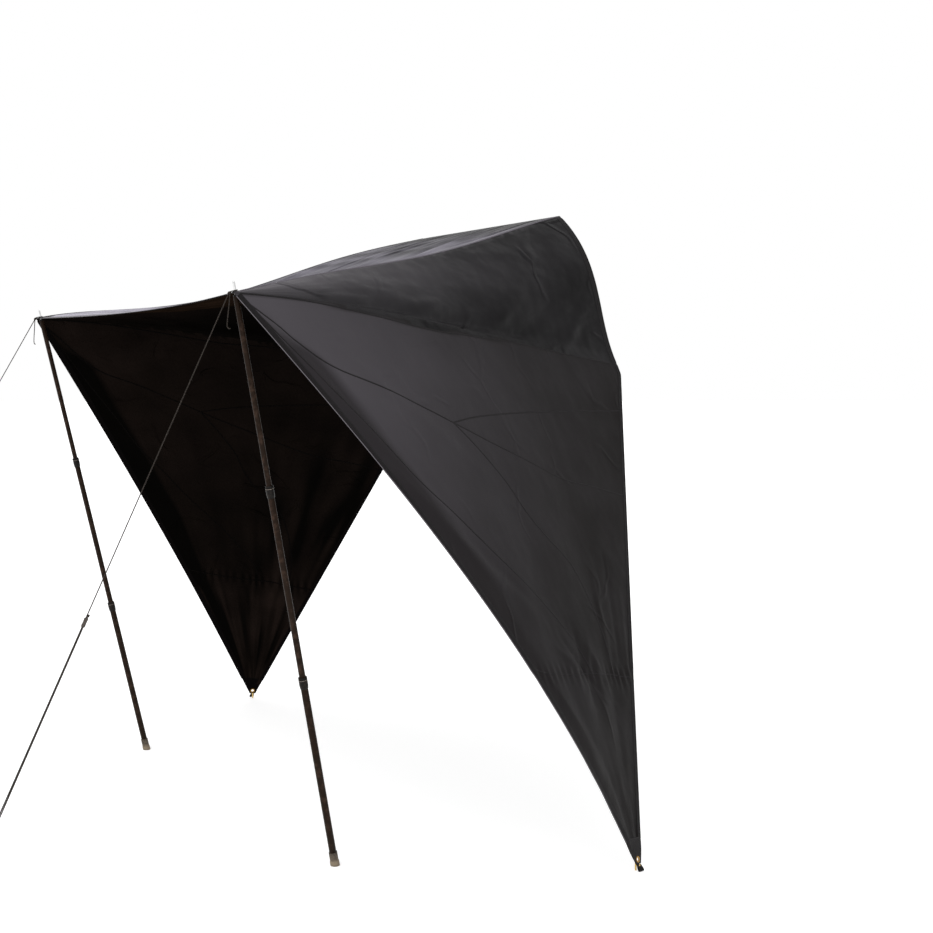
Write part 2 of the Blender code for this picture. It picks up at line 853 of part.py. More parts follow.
def make_foot(name, tube_foot, length, empty):
    """A rubber cup on the tube's lower end, cut level where it meets the ground."""
    bore = lower_radius + fit_gap
    outer = bore + foot_wall
    floor = tube_foot - fit_gap
    top = floor + foot_height
    base = -length - foot_allowance
    cup = turned(name, [
        (outer - foot_chamfer, top), (outer, top - foot_chamfer), (outer, floor + foot_flare_top),
        (foot_radius, floor + foot_flare_bottom), (foot_radius, base), (0, base), (0, floor),
        (bore, floor), (bore, top),
    ], foot_rubber(), True)
    hang_on(cup, empty)
    bm = bmesh.new()
    bmesh.ops.create_cube(bm, size=ground_block)
    mesh = bpy.data.meshes.new(name + "_ground")
    bm.to_mesh(mesh)
    bm.free()
    block = bpy.data.objects.new(name + "_ground", mesh)
    cutters.objects.link(block)
    block.hide_render = True
    block.display_type = "WIRE"
    place = empty.location + empty.rotation_quaternion @ Vector((0, 0, -length))
    block.location = (place.x, place.y, -ground_block / 2)
    cut(cup, block)


# Guy ropes, pegs and webbing loops

def smooth_points(route):
    """Points on a smooth curve through the route, two for each short span and one for each long one."""
    found = [route[0]]
    for i in range(len(route) - 1):
        start = route[i]
        end = route[i + 1]
        span = (end - start).length
        leave = end - start
        arrive = end - start
        if i > 0:
            before = route[i - 1]
            leave = (end - before).normalized() * min(span, (start - before).length * span_pull)
        if i < len(route) - 2:
            after = route[i + 2]
            arrive = (after - start).normalized() * min(span, (after - end).length * span_pull)
        count = 2 if span < short_span else 1
        for k in range(1, count + 1):
            t = k / count
            ease = t * t * (3 - 2 * t)
            pull = leave * (t ** 3 - 2 * t ** 2 + t) + arrive * (t ** 3 - t ** 2)
            found.append(start.lerp(end, ease) + pull)
    return found


def heading_of(side):
    """The level direction from the pole top to the guy peg."""
    angle = math.radians(guy_angle)
    return Vector((side * math.sin(angle), -math.cos(angle), 0))


def guy_place(side, run, out, height):
    """A place by the guy line: along the ground, to the outer side, and above the ground."""
    pivot = pole_pivot(side)
    heading = heading_of(side)
    outer = Vector((-side * heading.y, side * heading.x, 0))
    foot = Vector((pivot.x, pivot.y, 0))
    _, normal = corner_hole(side)
    fall = normal.dot(heading) / normal.z - eye_fall
    rise = -normal.dot(outer) / normal.z - eye_rise
    tilt = (rise * out - fall * run) * max(0, 1 - abs(run) / eye_reach)
    return foot + heading * run + outer * out + Vector((0, 0, height * pivot.z / route_height + tilt))


def rod(name, points, radius, mat, resolution=2):
    curve = bpy.data.curves.new(name, "CURVE")
    curve.dimensions = "3D"
    curve.bevel_depth = radius
    curve.bevel_resolution = resolution
    curve.use_fill_caps = True
    spline = curve.splines.new("POLY")
    spline.points.add(len(points) - 1)
    for point, place in zip(spline.points, points):
        point.co = (*place, 1)
    return add_object(name, curve, mat)


def make_rope(base, route, side):
    places = [guy_place(side, run / 1000, out / 1000, height / 1000) for run, out, height in route]
    rod(side_name(base, side), smooth_points(places), rope_radius, rope_cord())


def make_tensioner(side):
    """A block with two bores for the rope, which slides along it."""
    slope = math.radians(tensioner_slope)
    heading = heading_of(side)
    down = heading * math.cos(slope) - Vector((0, 0, math.sin(slope)))
    height = rope_height(tensioner_run)
    place = guy_place(side, tensioner_run, 0, height)
    across = (guy_place(side, tensioner_run, 1, height) - place).normalized()
    flat = (tensioner_width - tensioner_thickness) / 2
    outline = []
    for sign in (1, -1):
        for i in range(9):
            angle = math.pi * (i / 8 - 0.5)
            x = sign * (flat + tensioner_thickness / 2 * math.cos(angle))
            outline.append((x, sign * tensioner_thickness / 2 * math.sin(angle)))
    bore = rope_radius + rope_play
    bores = [circle_outline(bore, 12, (sign * strand_spacing / 2, 0)) for sign in (1, -1)]
    block = extruded(side_name("tensioner", side), [outline] + bores, tensioner_length, grey_plastic())
    turn = Matrix((across, down.cross(across), down)).transposed().to_4x4()
    block.matrix_world = Matrix.Translation(place) @ turn


def rope_height(run):
    """The height of the taut rope above the ground, at a distance from the pole top."""
    along = run * 1000
    for (near, _, near_height), (far, _, far_height) in zip(rope_route, rope_route[1:]):
        if near <= along <= far:
            return (near_height + (far_height - near_height) * (along - near) / (far - near)) / 1000
    return 0.0


def hook_points(base, away, shaft_top, bend, turn):
    """A shaft up from the ground that bends over towards away, through turn degrees."""
    points = [base, base + Vector((0, 0, shaft_top / 2)), base + Vector((0, 0, shaft_top))]
    count = round(turn / hook_step)
    for i in range(1, count + 1):
        angle = math.radians(turn) * i / count
        over = away * (bend - bend * math.cos(angle))
        points.append(base + over + Vector((0, 0, shaft_top + bend * math.sin(angle))))
    return points


def make_guy_peg(side):
    """A hooked rod, cut at the ground, with its hook turned away from the pole."""
    base = guy_place(side, guy_run, 0, 0)
    points = hook_points(base, heading_of(side), guy_peg_height, guy_hook_radius, 180)
    points.append(points[-1] - Vector((0, 0, guy_hook_end)))
    rod(side_name("guy_peg", side), points, peg_radius, yellow_steel(), 3)


def make_wing_peg(side):
    """A hooked rod inside the wing. Its hook comes out through the tip's grommet, square to the cloth."""
    centre, normal = tip_hole(side)
    level = Vector((normal.x, normal.y, 0))
    away = level.normalized()
    down = (away * normal.z - Vector((0, 0, level.length))).normalized()
    seat = centre + down * wing_hook_sink
    base = seat - away * (wing_hook_radius * (1 - normal.z))
    shaft_top = seat.z - wing_hook_radius * level.length
    base.z = 0
    points = hook_points(base, away, shaft_top, wing_hook_radius, wing_hook_turn)
    rod(side_name("wing_peg", side), points, peg_radius, yellow_steel(), 3)


def make_wing_tip_loop(side):
    """A strap folded into a loop under the wing's tip, leaning out to the ground."""
    frame = frame_of(side)
    top = (frame.tip_front + frame.tip_rear) / 2
    lean = math.radians(loop_lean)
    outer = []
    inner = []
    count = 20
    for i in range(count):
        turn = 2 * math.pi * i / count
        share = (1 - math.cos(turn)) / 2
        across = loop_belly * math.sin(turn) * share * loop_fullness
        outer.append((loop_length * share, across))
        inside = loop_strap + (loop_length - 2 * loop_strap) * share
        inner.append((inside, across * (1 - loop_pinch * (loop_pinch_top - share))))
    loop = extruded(side_name("wing_tip_loop", side), [outer, inner], loop_width, webbing())
    down = Vector((side * math.sin(lean), 0, -math.cos(lean)))
    through = Vector((0, 1, 0))
    start = top - Vector((0, 0, loop_gap))
    turn = Matrix((down, through.cross(down), through)).transposed().to_4x4()
    loop.matrix_world = Matrix.Translation(start) @ turn


def main():
    global parts, cutters, right_frame, left_frame
    clear_scene()
    parts = new_collection("rooftop_tent_awning")
    cutters = new_collection("cutters")
    right_frame = Frame(1)
    left_frame = Frame(-1)
    make_roof()
    make_top_tape()
    for side in (1, -1):
        make_gusset(side)
        make_wing(side)
        make_grommets(side)
        make_wing_tip_loop(side)
        make_wing_peg(side)
        make_pole(side)
        make_rope("guy_rope", rope_route, side)
        make_rope("guy_tail", tail_route, side)
        make_tensioner(side)
        make_guy_peg(side)


main()
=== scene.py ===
import json
from math import atan2, cos, exp, hypot, pi, radians, sin

import bmesh
import bpy
from mathutils import Matrix, Vector, noise

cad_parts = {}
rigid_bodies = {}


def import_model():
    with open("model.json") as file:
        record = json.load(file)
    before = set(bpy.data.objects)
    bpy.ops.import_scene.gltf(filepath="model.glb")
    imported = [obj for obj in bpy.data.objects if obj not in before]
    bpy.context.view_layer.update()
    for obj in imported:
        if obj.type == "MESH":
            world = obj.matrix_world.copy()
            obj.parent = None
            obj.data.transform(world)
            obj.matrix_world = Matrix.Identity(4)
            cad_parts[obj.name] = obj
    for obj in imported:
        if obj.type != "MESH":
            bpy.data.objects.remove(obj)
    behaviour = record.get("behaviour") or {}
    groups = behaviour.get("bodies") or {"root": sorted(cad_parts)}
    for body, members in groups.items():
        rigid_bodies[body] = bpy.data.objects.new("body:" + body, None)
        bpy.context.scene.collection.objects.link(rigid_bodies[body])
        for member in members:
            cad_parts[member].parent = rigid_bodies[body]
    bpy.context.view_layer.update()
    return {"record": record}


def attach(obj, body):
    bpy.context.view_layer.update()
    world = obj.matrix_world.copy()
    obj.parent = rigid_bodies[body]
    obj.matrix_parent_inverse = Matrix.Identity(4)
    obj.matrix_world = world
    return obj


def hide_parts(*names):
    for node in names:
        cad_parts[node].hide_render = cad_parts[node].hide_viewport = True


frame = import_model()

joints = {joint["name"]: joint for joint in frame["record"]["behaviour"]["joints"]}
sides = (1, -1)  # 1 is the right side, +X, and -1 the left


def sideName(base, side):
    return base + {1: "_right", 0: "", -1: "_left"}[side]


def clamp(value):
    return min(1, max(0, value))


def steps(low, high, count):
    return [low + (high - low) * i / count for i in range(count + 1)]


def wobble(x, y, z=0.0):
    return noise.noise(Vector((x, y, z)))


def deselect():
    bpy.ops.object.select_all(action="DESELECT")


deselect()


# Camera, floor and light

view = {
    "place": (4.8808, -2.7145, 1.68),
    "forward": (-0.82179, 0.56630, -0.06292),
    "lens": 51.14,  # mm on a 36 mm sensor
}


def makeCamera():
    bpy.ops.object.camera_add(location=view["place"])
    camera = bpy.context.object
    camera.name = "photoCamera"
    camera.rotation_euler = Vector(view["forward"]).to_track_quat("-Z", "Y").to_euler()
    camera.data.sensor_width = 36
    camera.data.lens = view["lens"]
    bpy.context.scene.camera = camera


def linear(hexColor):
    # sRGB hex to the linear colour that the nodes take
    found = []
    for i in (1, 3, 5):
        c = int(hexColor[i:i + 2], 16) / 255
        found.append(c / 12.92 if c <= 0.04045 else ((c + 0.055) / 1.055) ** 2.4)
    return (*found, 1)


def wire(owner, node, inputs):
    # inputs by name, or a list in the sockets' own order; each takes a value, a socket, or a node by its
    # Fac or else its first output
    if isinstance(inputs, list):
        inputs = dict(zip([i for i, socket in enumerate(node.inputs) if socket.enabled], inputs))
    for key, value in inputs.items():
        if isinstance(value, bpy.types.Node):
            value = value.outputs.get("Fac") or next(out for out in value.outputs if out.enabled)
        if isinstance(value, bpy.types.NodeSocket):
            owner.node_tree.links.new(value, node.inputs[key])
        else:
            node.inputs[key].default_value = value
    return node


def addNode(owner, kind, inputs=None, **settings):
    node = owner.node_tree.nodes.new("ShaderNode" + kind)
    for key, value in settings.items():
        setattr(node, key, value)
    return wire(owner, node, inputs or {})


def newMaterial(name):
    mat = bpy.data.materials.new(name)
    mat.use_nodes = True
    return mat


def setShader(mat, inputs):
    wire(mat, mat.node_tree.nodes["Principled BSDF"], inputs)
    return mat


studio = {
    "worldLight": 0.95,
    "sunPower": 1.1,
    "sunFrom": (0.9, -1.6, 2.6),  # where the light comes from
    "sunWidth": 40,  # degrees, wide for a soft shadow
    "floorColor": "#e9e9e9",
    "floorSize": 120,
    "floorLift": 0.42,  # seen by the camera only
}


def seenRays(owner):
    # 1 for what the camera sees, also by way of a shiny or a clear surface
    path = addNode(owner, "LightPath").outputs
    total = path["Is Camera Ray"]
    for kind in ("Is Glossy Ray", "Is Transmission Ray"):
        total = addNode(owner, "Math", [total, path[kind]], use_clamp=True)
    return total


def makeStudio():
    world = bpy.data.worlds.new("paleStudio")
    bpy.context.scene.world = world
    world.use_nodes = True
    level = addNode(world, "MapRange",
                    [seenRays(world), 0, 1, studio["worldLight"], 1.0])
    wire(world, world.node_tree.nodes["Background"], {"Color": (1, 1, 1, 1), "Strength": level})

    bpy.ops.object.light_add(type="SUN", location=studio["sunFrom"])
    sun = bpy.context.object
    sun.data.energy = studio["sunPower"]
    sun.data.angle = radians(studio["sunWidth"])
    sun.rotation_euler = Vector(studio["sunFrom"]).to_track_quat("Z", "Y").to_euler()

    bpy.ops.mesh.primitive_circle_add(vertices=64, radius=studio["floorSize"], fill_type="NGON")
    floor = bpy.context.object
    floor.name = "paleFloor"
    mat = newMaterial("matte white studio floor")
    glow = addNode(mat, "Math", [seenRays(mat), studio["floorLift"]], operation="MULTIPLY")
    setShader(mat, {"Base Color": linear(studio["floorColor"]), "Roughness": 0.9,
                    "Emission Color": (1, 1, 1, 1), "Emission Strength": glow})
    floor.data.materials.append(mat)


bpy.context.scene.view_settings.view_transform = "Standard"
makeCamera()
makeStudio()
print("camera and studio made")


# The cloth's shape: the same corners and bows as the frame's panels

cloth = {
    "frontCorner": (1.0288, -0.946, 1.96305),
    "topCorner": (0.510, 0.7679, 2.374),
    "tentCorner": (0.698, 0.946, 1.716),
    "seamShare": 0.06383,  # how far up from the lower back corner the side seam ends
    "tip": (1.540, 0.3204, 0.0),
    "tipHeight": 0.024,
    "tipWidth": 0.030,
    "tipTurn": 12.65,
    "frontBow": (0, 0.040, -0.018),
    "frontSkew": 0.14,
    "ridgeSag": {1: 0.030, -1: 0.065},
    "ridgeSkew": {1: 0.80, -1: -1.20},
    "ridgeHollow": 0.030,
    "roofSag": 0.040,
    "archBow": 0.057,
    "archSkew": 1.25,
    "seamBow": (0.020, 0.021),
    "seamSkew": -1.2,
    "wingHollow": 0.012,
    "wingBillow": 0.113,
    "wingSkew": 0.29,
    "wingBelly": 0.012,
    "foldDepth": 0.006,
    "gatherLine": 0.667,
    "wall": 0.0012,
}


def bowed(start, end, bow, skew, t):
    return start.lerp(end, t) + bow * (4 * t * (1 - t) * (1 + skew * (2 * t - 1)))


class Corners:
    def __init__(self, side):
        flip = Vector((side, 1, 1))
        self.front, self.top, self.tent, tip = (
            Vector(cloth[name]) * flip for name in ("frontCorner", "topCorner", "tentCorner", "tip"))
        self.seamEnd = self.tent.lerp(self.top, cloth["seamShare"])
        self.tipRear = self.tent.lerp(tip, 1 - cloth["tipHeight"] / self.tent.z)
        turn = radians(cloth["tipTurn"])
        self.tipFront = self.tipRear + Vector((side * sin(turn), -cos(turn), 0)) * cloth["tipWidth"]
        chord = self.tipFront - self.front
        normal = chord.cross(self.tent - self.front).normalized()
        self.outward = normal if normal.x * side > 0 else -normal
        inward = normal.cross(chord).normalized()
        self.inward = inward if inward.dot(self.tent - self.front) > 0 else -inward
        upper = (self.seamEnd - self.tent).length
        self.turn = upper / (upper + (self.tipRear - self.tent).length)


corners = {side: Corners(side) for side in sides}


def ridge(side, t):
    # between the roof and the gusset, from the pole corner up to the back edge
    c = corners[side]
    hang = sin(pi * t) ** 2 * (1 + cloth["ridgeSkew"][side] * (2 * t - 1))
    hollow = Vector((-side * cloth["ridgeHollow"], 0, -cloth["ridgeSag"][side]))
    return c.front.lerp(c.top, t) + hollow * hang


def sideSeam(side, t):
    out, up = cloth["seamBow"]
    c = corners[side]
    return bowed(c.front, c.seamEnd, Vector((side * out, 0, up)), cloth["seamSkew"], t)


def archSide(side, t):
    c = corners[side]
    return bowed(c.seamEnd, c.top, Vector((side * cloth["archBow"], 0, 0)), cloth["archSkew"], t)


def wingFront(side, t):
    c = corners[side]
    line = bowed(c.front, c.tipFront, c.outward * cloth["wingBillow"], cloth["wingSkew"], t)
    return line + c.inward * (cloth["wingHollow"] * 4 * t * (1 - t))


def wingRear(side, t):
    c = corners[side]
    if t < c.turn:
        return c.seamEnd.lerp(c.tent, t / c.turn)
    return c.tent.lerp(c.tipRear, (t - c.turn) / (1 - c.turn))


def patchBetween(bottom, top, left, right, u, v):
    ruledV = bottom(u).lerp(top(u), v)
    ruledU = left(v).lerp(right(v), u)
    return ruledV + ruledU - bottom(0).lerp(bottom(1), u).lerp(top(0).lerp(top(1), u), v)


def roofBase(side, u, v):
    left, right = corners[-1], corners[1]
    point = patchBetween(
        lambda t: bowed(left.front, right.front, Vector(cloth["frontBow"]), cloth["frontSkew"], t),
        lambda t: left.top.lerp(right.top, t),
        lambda t: ridge(-1, t), lambda t: ridge(1, t), u, v)
    point.z -= cloth["roofSag"] * 16 * u * (1 - u) * v * (1 - v) * (1.3 - 0.6 * v)
    crease = sin(pi * u) ** 2 * sin(pi * v) ** 2
    point.z += cloth["foldDepth"] * crease * sin(4 * pi * (u + 0.35 * v))
    return point


def gussetBase(side, u, v):
    point = patchBetween(
        lambda t: sideSeam(side, t), lambda t: ridge(side, t),
        lambda t: corners[side].front.copy(), lambda t: archSide(side, t), u, v)
    dip = sin(pi * u) ** 2 * sin(pi * v)
    point.x -= side * dip * cloth["foldDepth"] * (1 + sin(5 * pi * u))
    return point


def wingBase(side, u, v):
    c = corners[side]
    point = patchBetween(
        lambda t: sideSeam(side, t), lambda t: c.tipFront.lerp(c.tipRear, t),
        lambda t: wingFront(side, t), lambda t: wingRear(side, t), u, v)
    fan = exp(-((v - 0.45) / 0.22) ** 2) * sin(6 * pi * u)
    gather = exp(-((v - 0.675) / 0.07) ** 2) * sin(8 * pi * u + 1.0)
    sway = cloth["wingBelly"] * 16 * u * (1 - u) * v * (1 - v)
    point.x -= side * (sway + cloth["foldDepth"] * sin(pi * u) * (0.8 * fan + gather))
    return point


def wingWidth(side, v):
    return (wingBase(side, 1, v) - wingBase(side, 0, v)).length


# Folds and creases on top of that shape

# Creases are lines over a panel: u and v at both ends in hundredths, then depth and width in mm
folds = {
    "wing": [
        (1, 3, 7, 30, 3.5, 24), (4, 5, 17, 42, -3.5, 26), (10, 5, 36, 30, 2.5, 30),
        (10, 40, 34, 57, -3.0, 26), (3, 30, 16, 52, 4.0, 30),
        (38, 60, 60, 70, -4.0, 16), (44, 71, 60, 61, 3.5, 15), (51, 58, 50, 72, -3.0, 14),
        (60, 62, 72, 70, 3.5, 16), (30, 62, 46, 66, 3.0, 15),
        (76, 47, 79, 70, 3.0, 17), (85, 44, 89, 70, -3.0, 16), (93, 50, 95, 69, 2.2, 13),
        (26, 70, 54, 94, -1.4, 22), (52, 70, 60, 92, 1.1, 24), (76, 69, 70, 90, -1.0, 20),
        (10, 66, 24, 80, 1.5, 16),
    ],
    "gusset": [
        (40, 4, 52, 50, 7.0, 34), (47, 2, 60, 40, -5.0, 28), (60, 3, 74, 46, 7.0, 32),
        (68, 2, 82, 36, -5.0, 26), (84, 3, 95, 40, 5.0, 28), (16, 50, 34, 10, 4.0, 26),
        (22, 86, 40, 30, 3.0, 24), (30, 92, 52, 62, -3.0, 26), (62, 95, 78, 80, 2.0, 22),
        (70, 80, 96, 66, -1.5, 24), (8, 16, 90, 10, -9.0, 34), (10, 30, 66, 24, 4.0, 40),
    ],
    "roof": [
        (97, 6, 86, 60, 6.0, 26), (93, 8, 80, 50, -6.0, 30), (96, 30, 90, 86, -6.0, 22),
        (90, 40, 94, 92, 6.0, 24), (84, 20, 80, 80, 7.0, 34), (75, 15, 72, 90, -5.0, 40),
        (3, 6, 16, 60, 6.0, 28), (8, 10, 24, 50, -5.0, 30), (5, 40, 10, 90, -6.0, 26),
        (30, 90, 40, 40, 6.0, 40), (50, 95, 52, 55, -6.0, 40), (64, 92, 60, 50, 5.0, 36),
    ],
    "depthShare": {"wing": 1.2, "gusset": 1.9, "roof": 2.4},
    "puckerDepth": 0.0034,
    "puckerSpacing": 0.038,
    "puckerReach": 0.038,
    "seamPucker": 0.0028,  # along the back half of the side seam
    "seamSpacing": 0.052,
    "wander": 0.0035,  # slow unevenness all over
}
panelSize = {"roof": (2.06, 1.76), "gusset": (1.92, 0.64), "wing": (1.99, 2.32)}


def patternPlace(panel, u, v):
    # flat place on the cut cloth in m; a wing narrows to its tip and a gusset to the pole corner
    width, height = panelSize[panel]
    if panel == "gusset":
        return u * width, (v - 0.5) * height * u
    endWidth = 0.03 if panel == "wing" else 1.02
    return (u - 0.5) * (width * (1 - v) + endWidth * v), v * height


def creaseLift(panel, u, v):
    x, y = patternPlace(panel, u, v)
    lift = 0
    for u0, v0, u1, v1, depth, width in folds[panel]:
        ax, ay = patternPlace(panel, u0 / 100, v0 / 100)
        bx, by = patternPlace(panel, u1 / 100, v1 / 100)
        t = clamp(((x - ax) * (bx - ax) + (y - ay) * (by - ay)) / ((bx - ax) ** 2 + (by - ay) ** 2))
        away = hypot(x - ax - (bx - ax) * t, y - ay - (by - ay) * t)
        reach = width / 1000
        if away < reach * 3:
            lift += depth / 1000 * exp(-(away / reach) ** 2) * sin(pi * (0.08 + 0.84 * t)) ** 0.7
    return lift * folds["depthShare"][panel]


def puckerLift(panel, u, v):
    # small folds across the gathered seam and the side seam, uneven along them
    if panel == "roof":
        return 0
    width, height = panelSize[panel]
    if panel == "gusset":
        wave = sin(2 * pi * u * width / folds["seamSpacing"] + 4 * wobble(u * 11, 1.7))
        away = v * height * u
        return folds["seamPucker"] * wave * min(1, max(0, u - 0.35) * 4) * exp(-(away / 0.06) ** 2)
    x, y = patternPlace(panel, u, v)
    off = y - cloth["gatherLine"] * height
    wave = sin(2 * pi * x / folds["puckerSpacing"] + 3 * wobble(x * 9, 0.5))
    size = 0.5 + 0.9 * abs(wobble(x * 5, 4.2))
    return folds["puckerDepth"] * size * wave * exp(-(off / folds["puckerReach"]) ** 2)


def detailLift(panel, side, u, v):
    edge = min(1, 9 * u, 9 * (1 - u), 9 * v, 9 * (1 - v))
    if panel == "wing":
        edge = min(1, 30 * u, 30 * (1 - u), 14 * v, 16 * (1 - v))
    slow = wobble(u * 4 + side, v * 4, 7.3) + 0.5 * wobble(u * 9, v * 9 + side, 2.1)
    long = wobble(u * 26, v * 3.2, 11.0 + side) if panel == "roof" else 0
    uneven = folds["wander"] * (slow + 1.6 * long)
    return (creaseLift(panel, u, v) + puckerLift(panel, u, v) + uneven) * edge


bases = {"roof": roofBase, "gusset": gussetBase, "wing": wingBase}
grids = {}
backSteps = steps(0, 0.028, 2) + steps(0.042, 1, 98)  # from the poles to the back edge
panelLines = {
    "roof": (steps(0, 0.025, 2) + steps(0.04, 0.96, 78) + steps(0.975, 1, 2), backSteps),
    "gusset": (backSteps, steps(0, 1, 28)),
    "wing": (backSteps, sorted(steps(0, 0.6, 78) + steps(0.607, 0.73, 24) + steps(0.738, 0.972, 34)
                               + [corners[1].turn])),
}


def facing(normal, panel, side):
    # the normal turned to the cloth's outer face
    out = normal.z if panel == "roof" else normal.x * side
    return -normal if out < 0 else normal


def layGrid(panel, side):
    # the panel's points, first on the plain shape and then moved along its normal by the folds
    columns, rows = panelLines[panel]
    plain = [[bases[panel](side, u, v) for u in columns] for v in rows]
    points = []
    for j, v in enumerate(rows):
        line = []
        for i, u in enumerate(columns):
            a = plain[j][min(i + 1, len(columns) - 1)] - plain[j][max(i - 1, 0)]
            b = plain[min(j + 1, len(rows) - 1)][i] - plain[max(j - 1, 0)][i]
            normal = a.cross(b)
            if normal.length > 1e-9:
                normal = facing(normal.normalized(), panel, side)
            line.append(plain[j][i] + normal * detailLift(panel, side, u, v))
        points.append(line)
    grids[panel, side] = points


layGrid("roof", 1)
for side in sides:
    layGrid("gusset", side)
    layGrid("wing", side)


def cellOf(lines, value):
    for i in range(len(lines) - 1):
        if value <= lines[i + 1]:
            break
    return i, min(max((value - lines[i]) / (lines[i + 1] - lines[i]), -1), 2)


def onCloth(panel, side, u, v):
    # the point of the finished sheet at u, v and its outward normal
    columns, rows = panelLines[panel]
    i, s = cellOf(columns, u)
    j, t = cellOf(rows, v)
    near, far = grids[panel, side][j][i:i + 2], grids[panel, side][j + 1][i:i + 2]
    a = near[1] - near[0] + far[1] - far[0]
    b = far[0] - near[0] + far[1] - near[1]
    point = near[0].lerp(near[1], s).lerp(far[0].lerp(far[1], s), t)
    return point, facing(a.cross(b).normalized(), panel, side)


print("cloth laid out")


# Cloth and webbing finishes

finish = {
    # outer cloths: charcoal, a little uneven; each pair runs from painted shade to painted light and
    # sheen, and the gusset's darker low end is painted shade
    "wing": ("#1a1818", "#464347"), "gusset": ("#131213", "#646165"), "roof": ("#141216", "#a8a4b0"),
    "paintedFrontShade": "#191617",  # painted shade along the wings' front edges, where the cloth turns in
    "inner": ("#080706", "#201916"), "roofInner": ("#080605", "#241a13"),
    # the ridge seam and its thread are pale: a painted highlight along the ridge
    "seam": "#1a1819", "seamInside": "#020101", "ridge": "#555157", "ridgeHighlightThread": "#7a767e",
    "webbing": "#171516", "webbingInside": "#060404", "thread": "#2b292a", "threadInside": "#15110e",
    # edge is a painted highlight on the bindings' folded edge; the roof's front binding and its thread
    # are pale with painted sheen
    "edge": "#6a666a", "roofHemPaintedSheen": "#6d6a6d", "roofHemThreadPaintedSheen": "#8a8789",
    "patch": "#1b191a", "patchThread": "#454243",
    # m: how far inside the edge the stitches lie, and the weave's pitch
    "seamRow": (0.0022, 0.0012), "bindingRow": (0.0028, 0.0018), "patchRow": (0.0035, 0.0016),
    "stitch": 0.0045,
    "threadPitch": 0.0014,  # real yarns lie 0.4 mm apart; drawn coarser so that they show
    "crinkle": 0.15,  # m between soft crinkles
    "creaseCell": 0.34, "creaseWidth": 0.016,  # m between sharp packing creases, and across one
}
waveLength = 0.314  # m between the lines of a wave texture at scale 1


def weaveHeight(mat, place, pitch):
    # two sets of yarns that cross, as a height from 0 to 1
    warp, weft = (addNode(mat, "TexWave", [place, waveLength / pitch], bands_direction=way)
                  for way in "XY")
    return addNode(mat, "Math", [warp, weft], operation="MULTIPLY")


def creaseHeight(mat, place):
    # sharp lines left by packing: the borders of large uneven cells, shown here and there
    cell = finish["creaseCell"]
    warp = addNode(mat, "TexNoise", [place, 2.1, 3])
    push = addNode(mat, "VectorMath", [warp.outputs["Color"], (0.55, 0.55, 0)], operation="MULTIPLY")
    moved = addNode(mat, "VectorMath", [place, push])
    cells = addNode(mat, "TexVoronoi", [moved, 1 / cell], feature="DISTANCE_TO_EDGE")
    line = addNode(mat, "MapRange", [cells, 0, finish["creaseWidth"] / cell, 1, 0],
                   interpolation_type="SMOOTHSTEP")
    some = addNode(mat, "TexNoise", [place, 3.7, 1])
    shown = addNode(mat, "MapRange", [some, 0.47, 0.62])
    return addNode(mat, "Math", [line, shown], operation="MULTIPLY")


def clothBump(mat, place, pulled, crinkle, depths, weave):
    # soft crinkles, then the sharp creases, then the weave
    creases, yarn = creaseHeight(mat, pulled), weaveHeight(mat, place, finish["threadPitch"])
    soft = addNode(mat, "Bump", {"Distance": depths[0], "Height": crinkle})
    sharp = addNode(mat, "Bump", {"Distance": depths[1], "Height": creases, "Normal": soft})
    return addNode(mat, "Bump", {"Strength": weave, "Distance": 0.0003, "Height": yarn, "Normal": sharp})


def outerCloth(name, tones, ior, rough, depths, stretch):
    # polyester taffeta, coated: close dull weave, soft crinkles and sharp creases from packing
    mat = newMaterial(name)
    place = addNode(mat, "UVMap", uv_map="cut")
    pulled = addNode(mat, "Mapping", {"Scale": stretch, "Vector": place})
    crinkle = addNode(mat, "TexNoise", [pulled, 1 / finish["crinkle"], 2.5, 0.5])
    cloudy = addNode(mat, "TexNoise", [place, 2.2, 3])
    uneven = addNode(mat, "MapRange", [cloudy, 0.35, 0.65, -0.05, 0.05])
    # the tone attribute picks between painted shade and painted light and sheen
    paintedLight = addNode(mat, "Attribute", attribute_name="tone")
    level = addNode(mat, "Math", [paintedLight, uneven], use_clamp=True)
    tone = addNode(mat, "Mix", [level, linear(tones[0]), linear(tones[1])], data_type="RGBA")
    # painted shade behind the wings' front edges
    paintedFrontShade = addNode(mat, "Attribute", attribute_name="frontShadeBand")
    both = addNode(mat, "Mix", [paintedFrontShade, tone, linear(finish["paintedFrontShade"])], data_type="RGBA")
    rougher = addNode(mat, "MapRange", [crinkle, 0, 1, rough, rough + 0.18])
    return setShader(mat, {"Base Color": both, "Roughness": rougher, "IOR": ior,
                           "Normal": clothBump(mat, place, pulled, crinkle, depths, 0.25)})


def innerCloth(name, tones):
    # the same cloth's inner face with its dull waterproof coat: no shine, browner where light
    # comes through
    mat = newMaterial(name)
    place = addNode(mat, "UVMap", uv_map="cut")
    crinkle = addNode(mat, "TexNoise", [place, 1 / finish["crinkle"], 5])
    crinkle.inputs["Distortion"].default_value = 0.8
    cloudy = addNode(mat, "TexNoise", [place, 3.1, 3])
    lit = addNode(mat, "Attribute", attribute_name="lit")
    # painted shade behind the wings' front edges, taken off the light inside
    paintedFrontShade = addNode(mat, "Attribute", attribute_name="frontShadeBand")
    lit = addNode(mat, "Math", [lit, paintedFrontShade], operation="SUBTRACT", use_clamp=True)
    level = addNode(mat, "Math", [lit, cloudy], operation="MULTIPLY")
    level = addNode(mat, "MapRange", [level, 0, 0.55])
    tone = addNode(mat, "Mix", [level, linear(tones[0]), linear(tones[1])], data_type="RGBA")
    return setShader(mat, {"Base Color": tone, "Specular IOR Level": 0.0, "Roughness": 0.8,
                           "Normal": clothBump(mat, place, place, crinkle, (0.02, 0.008), 0.2)})


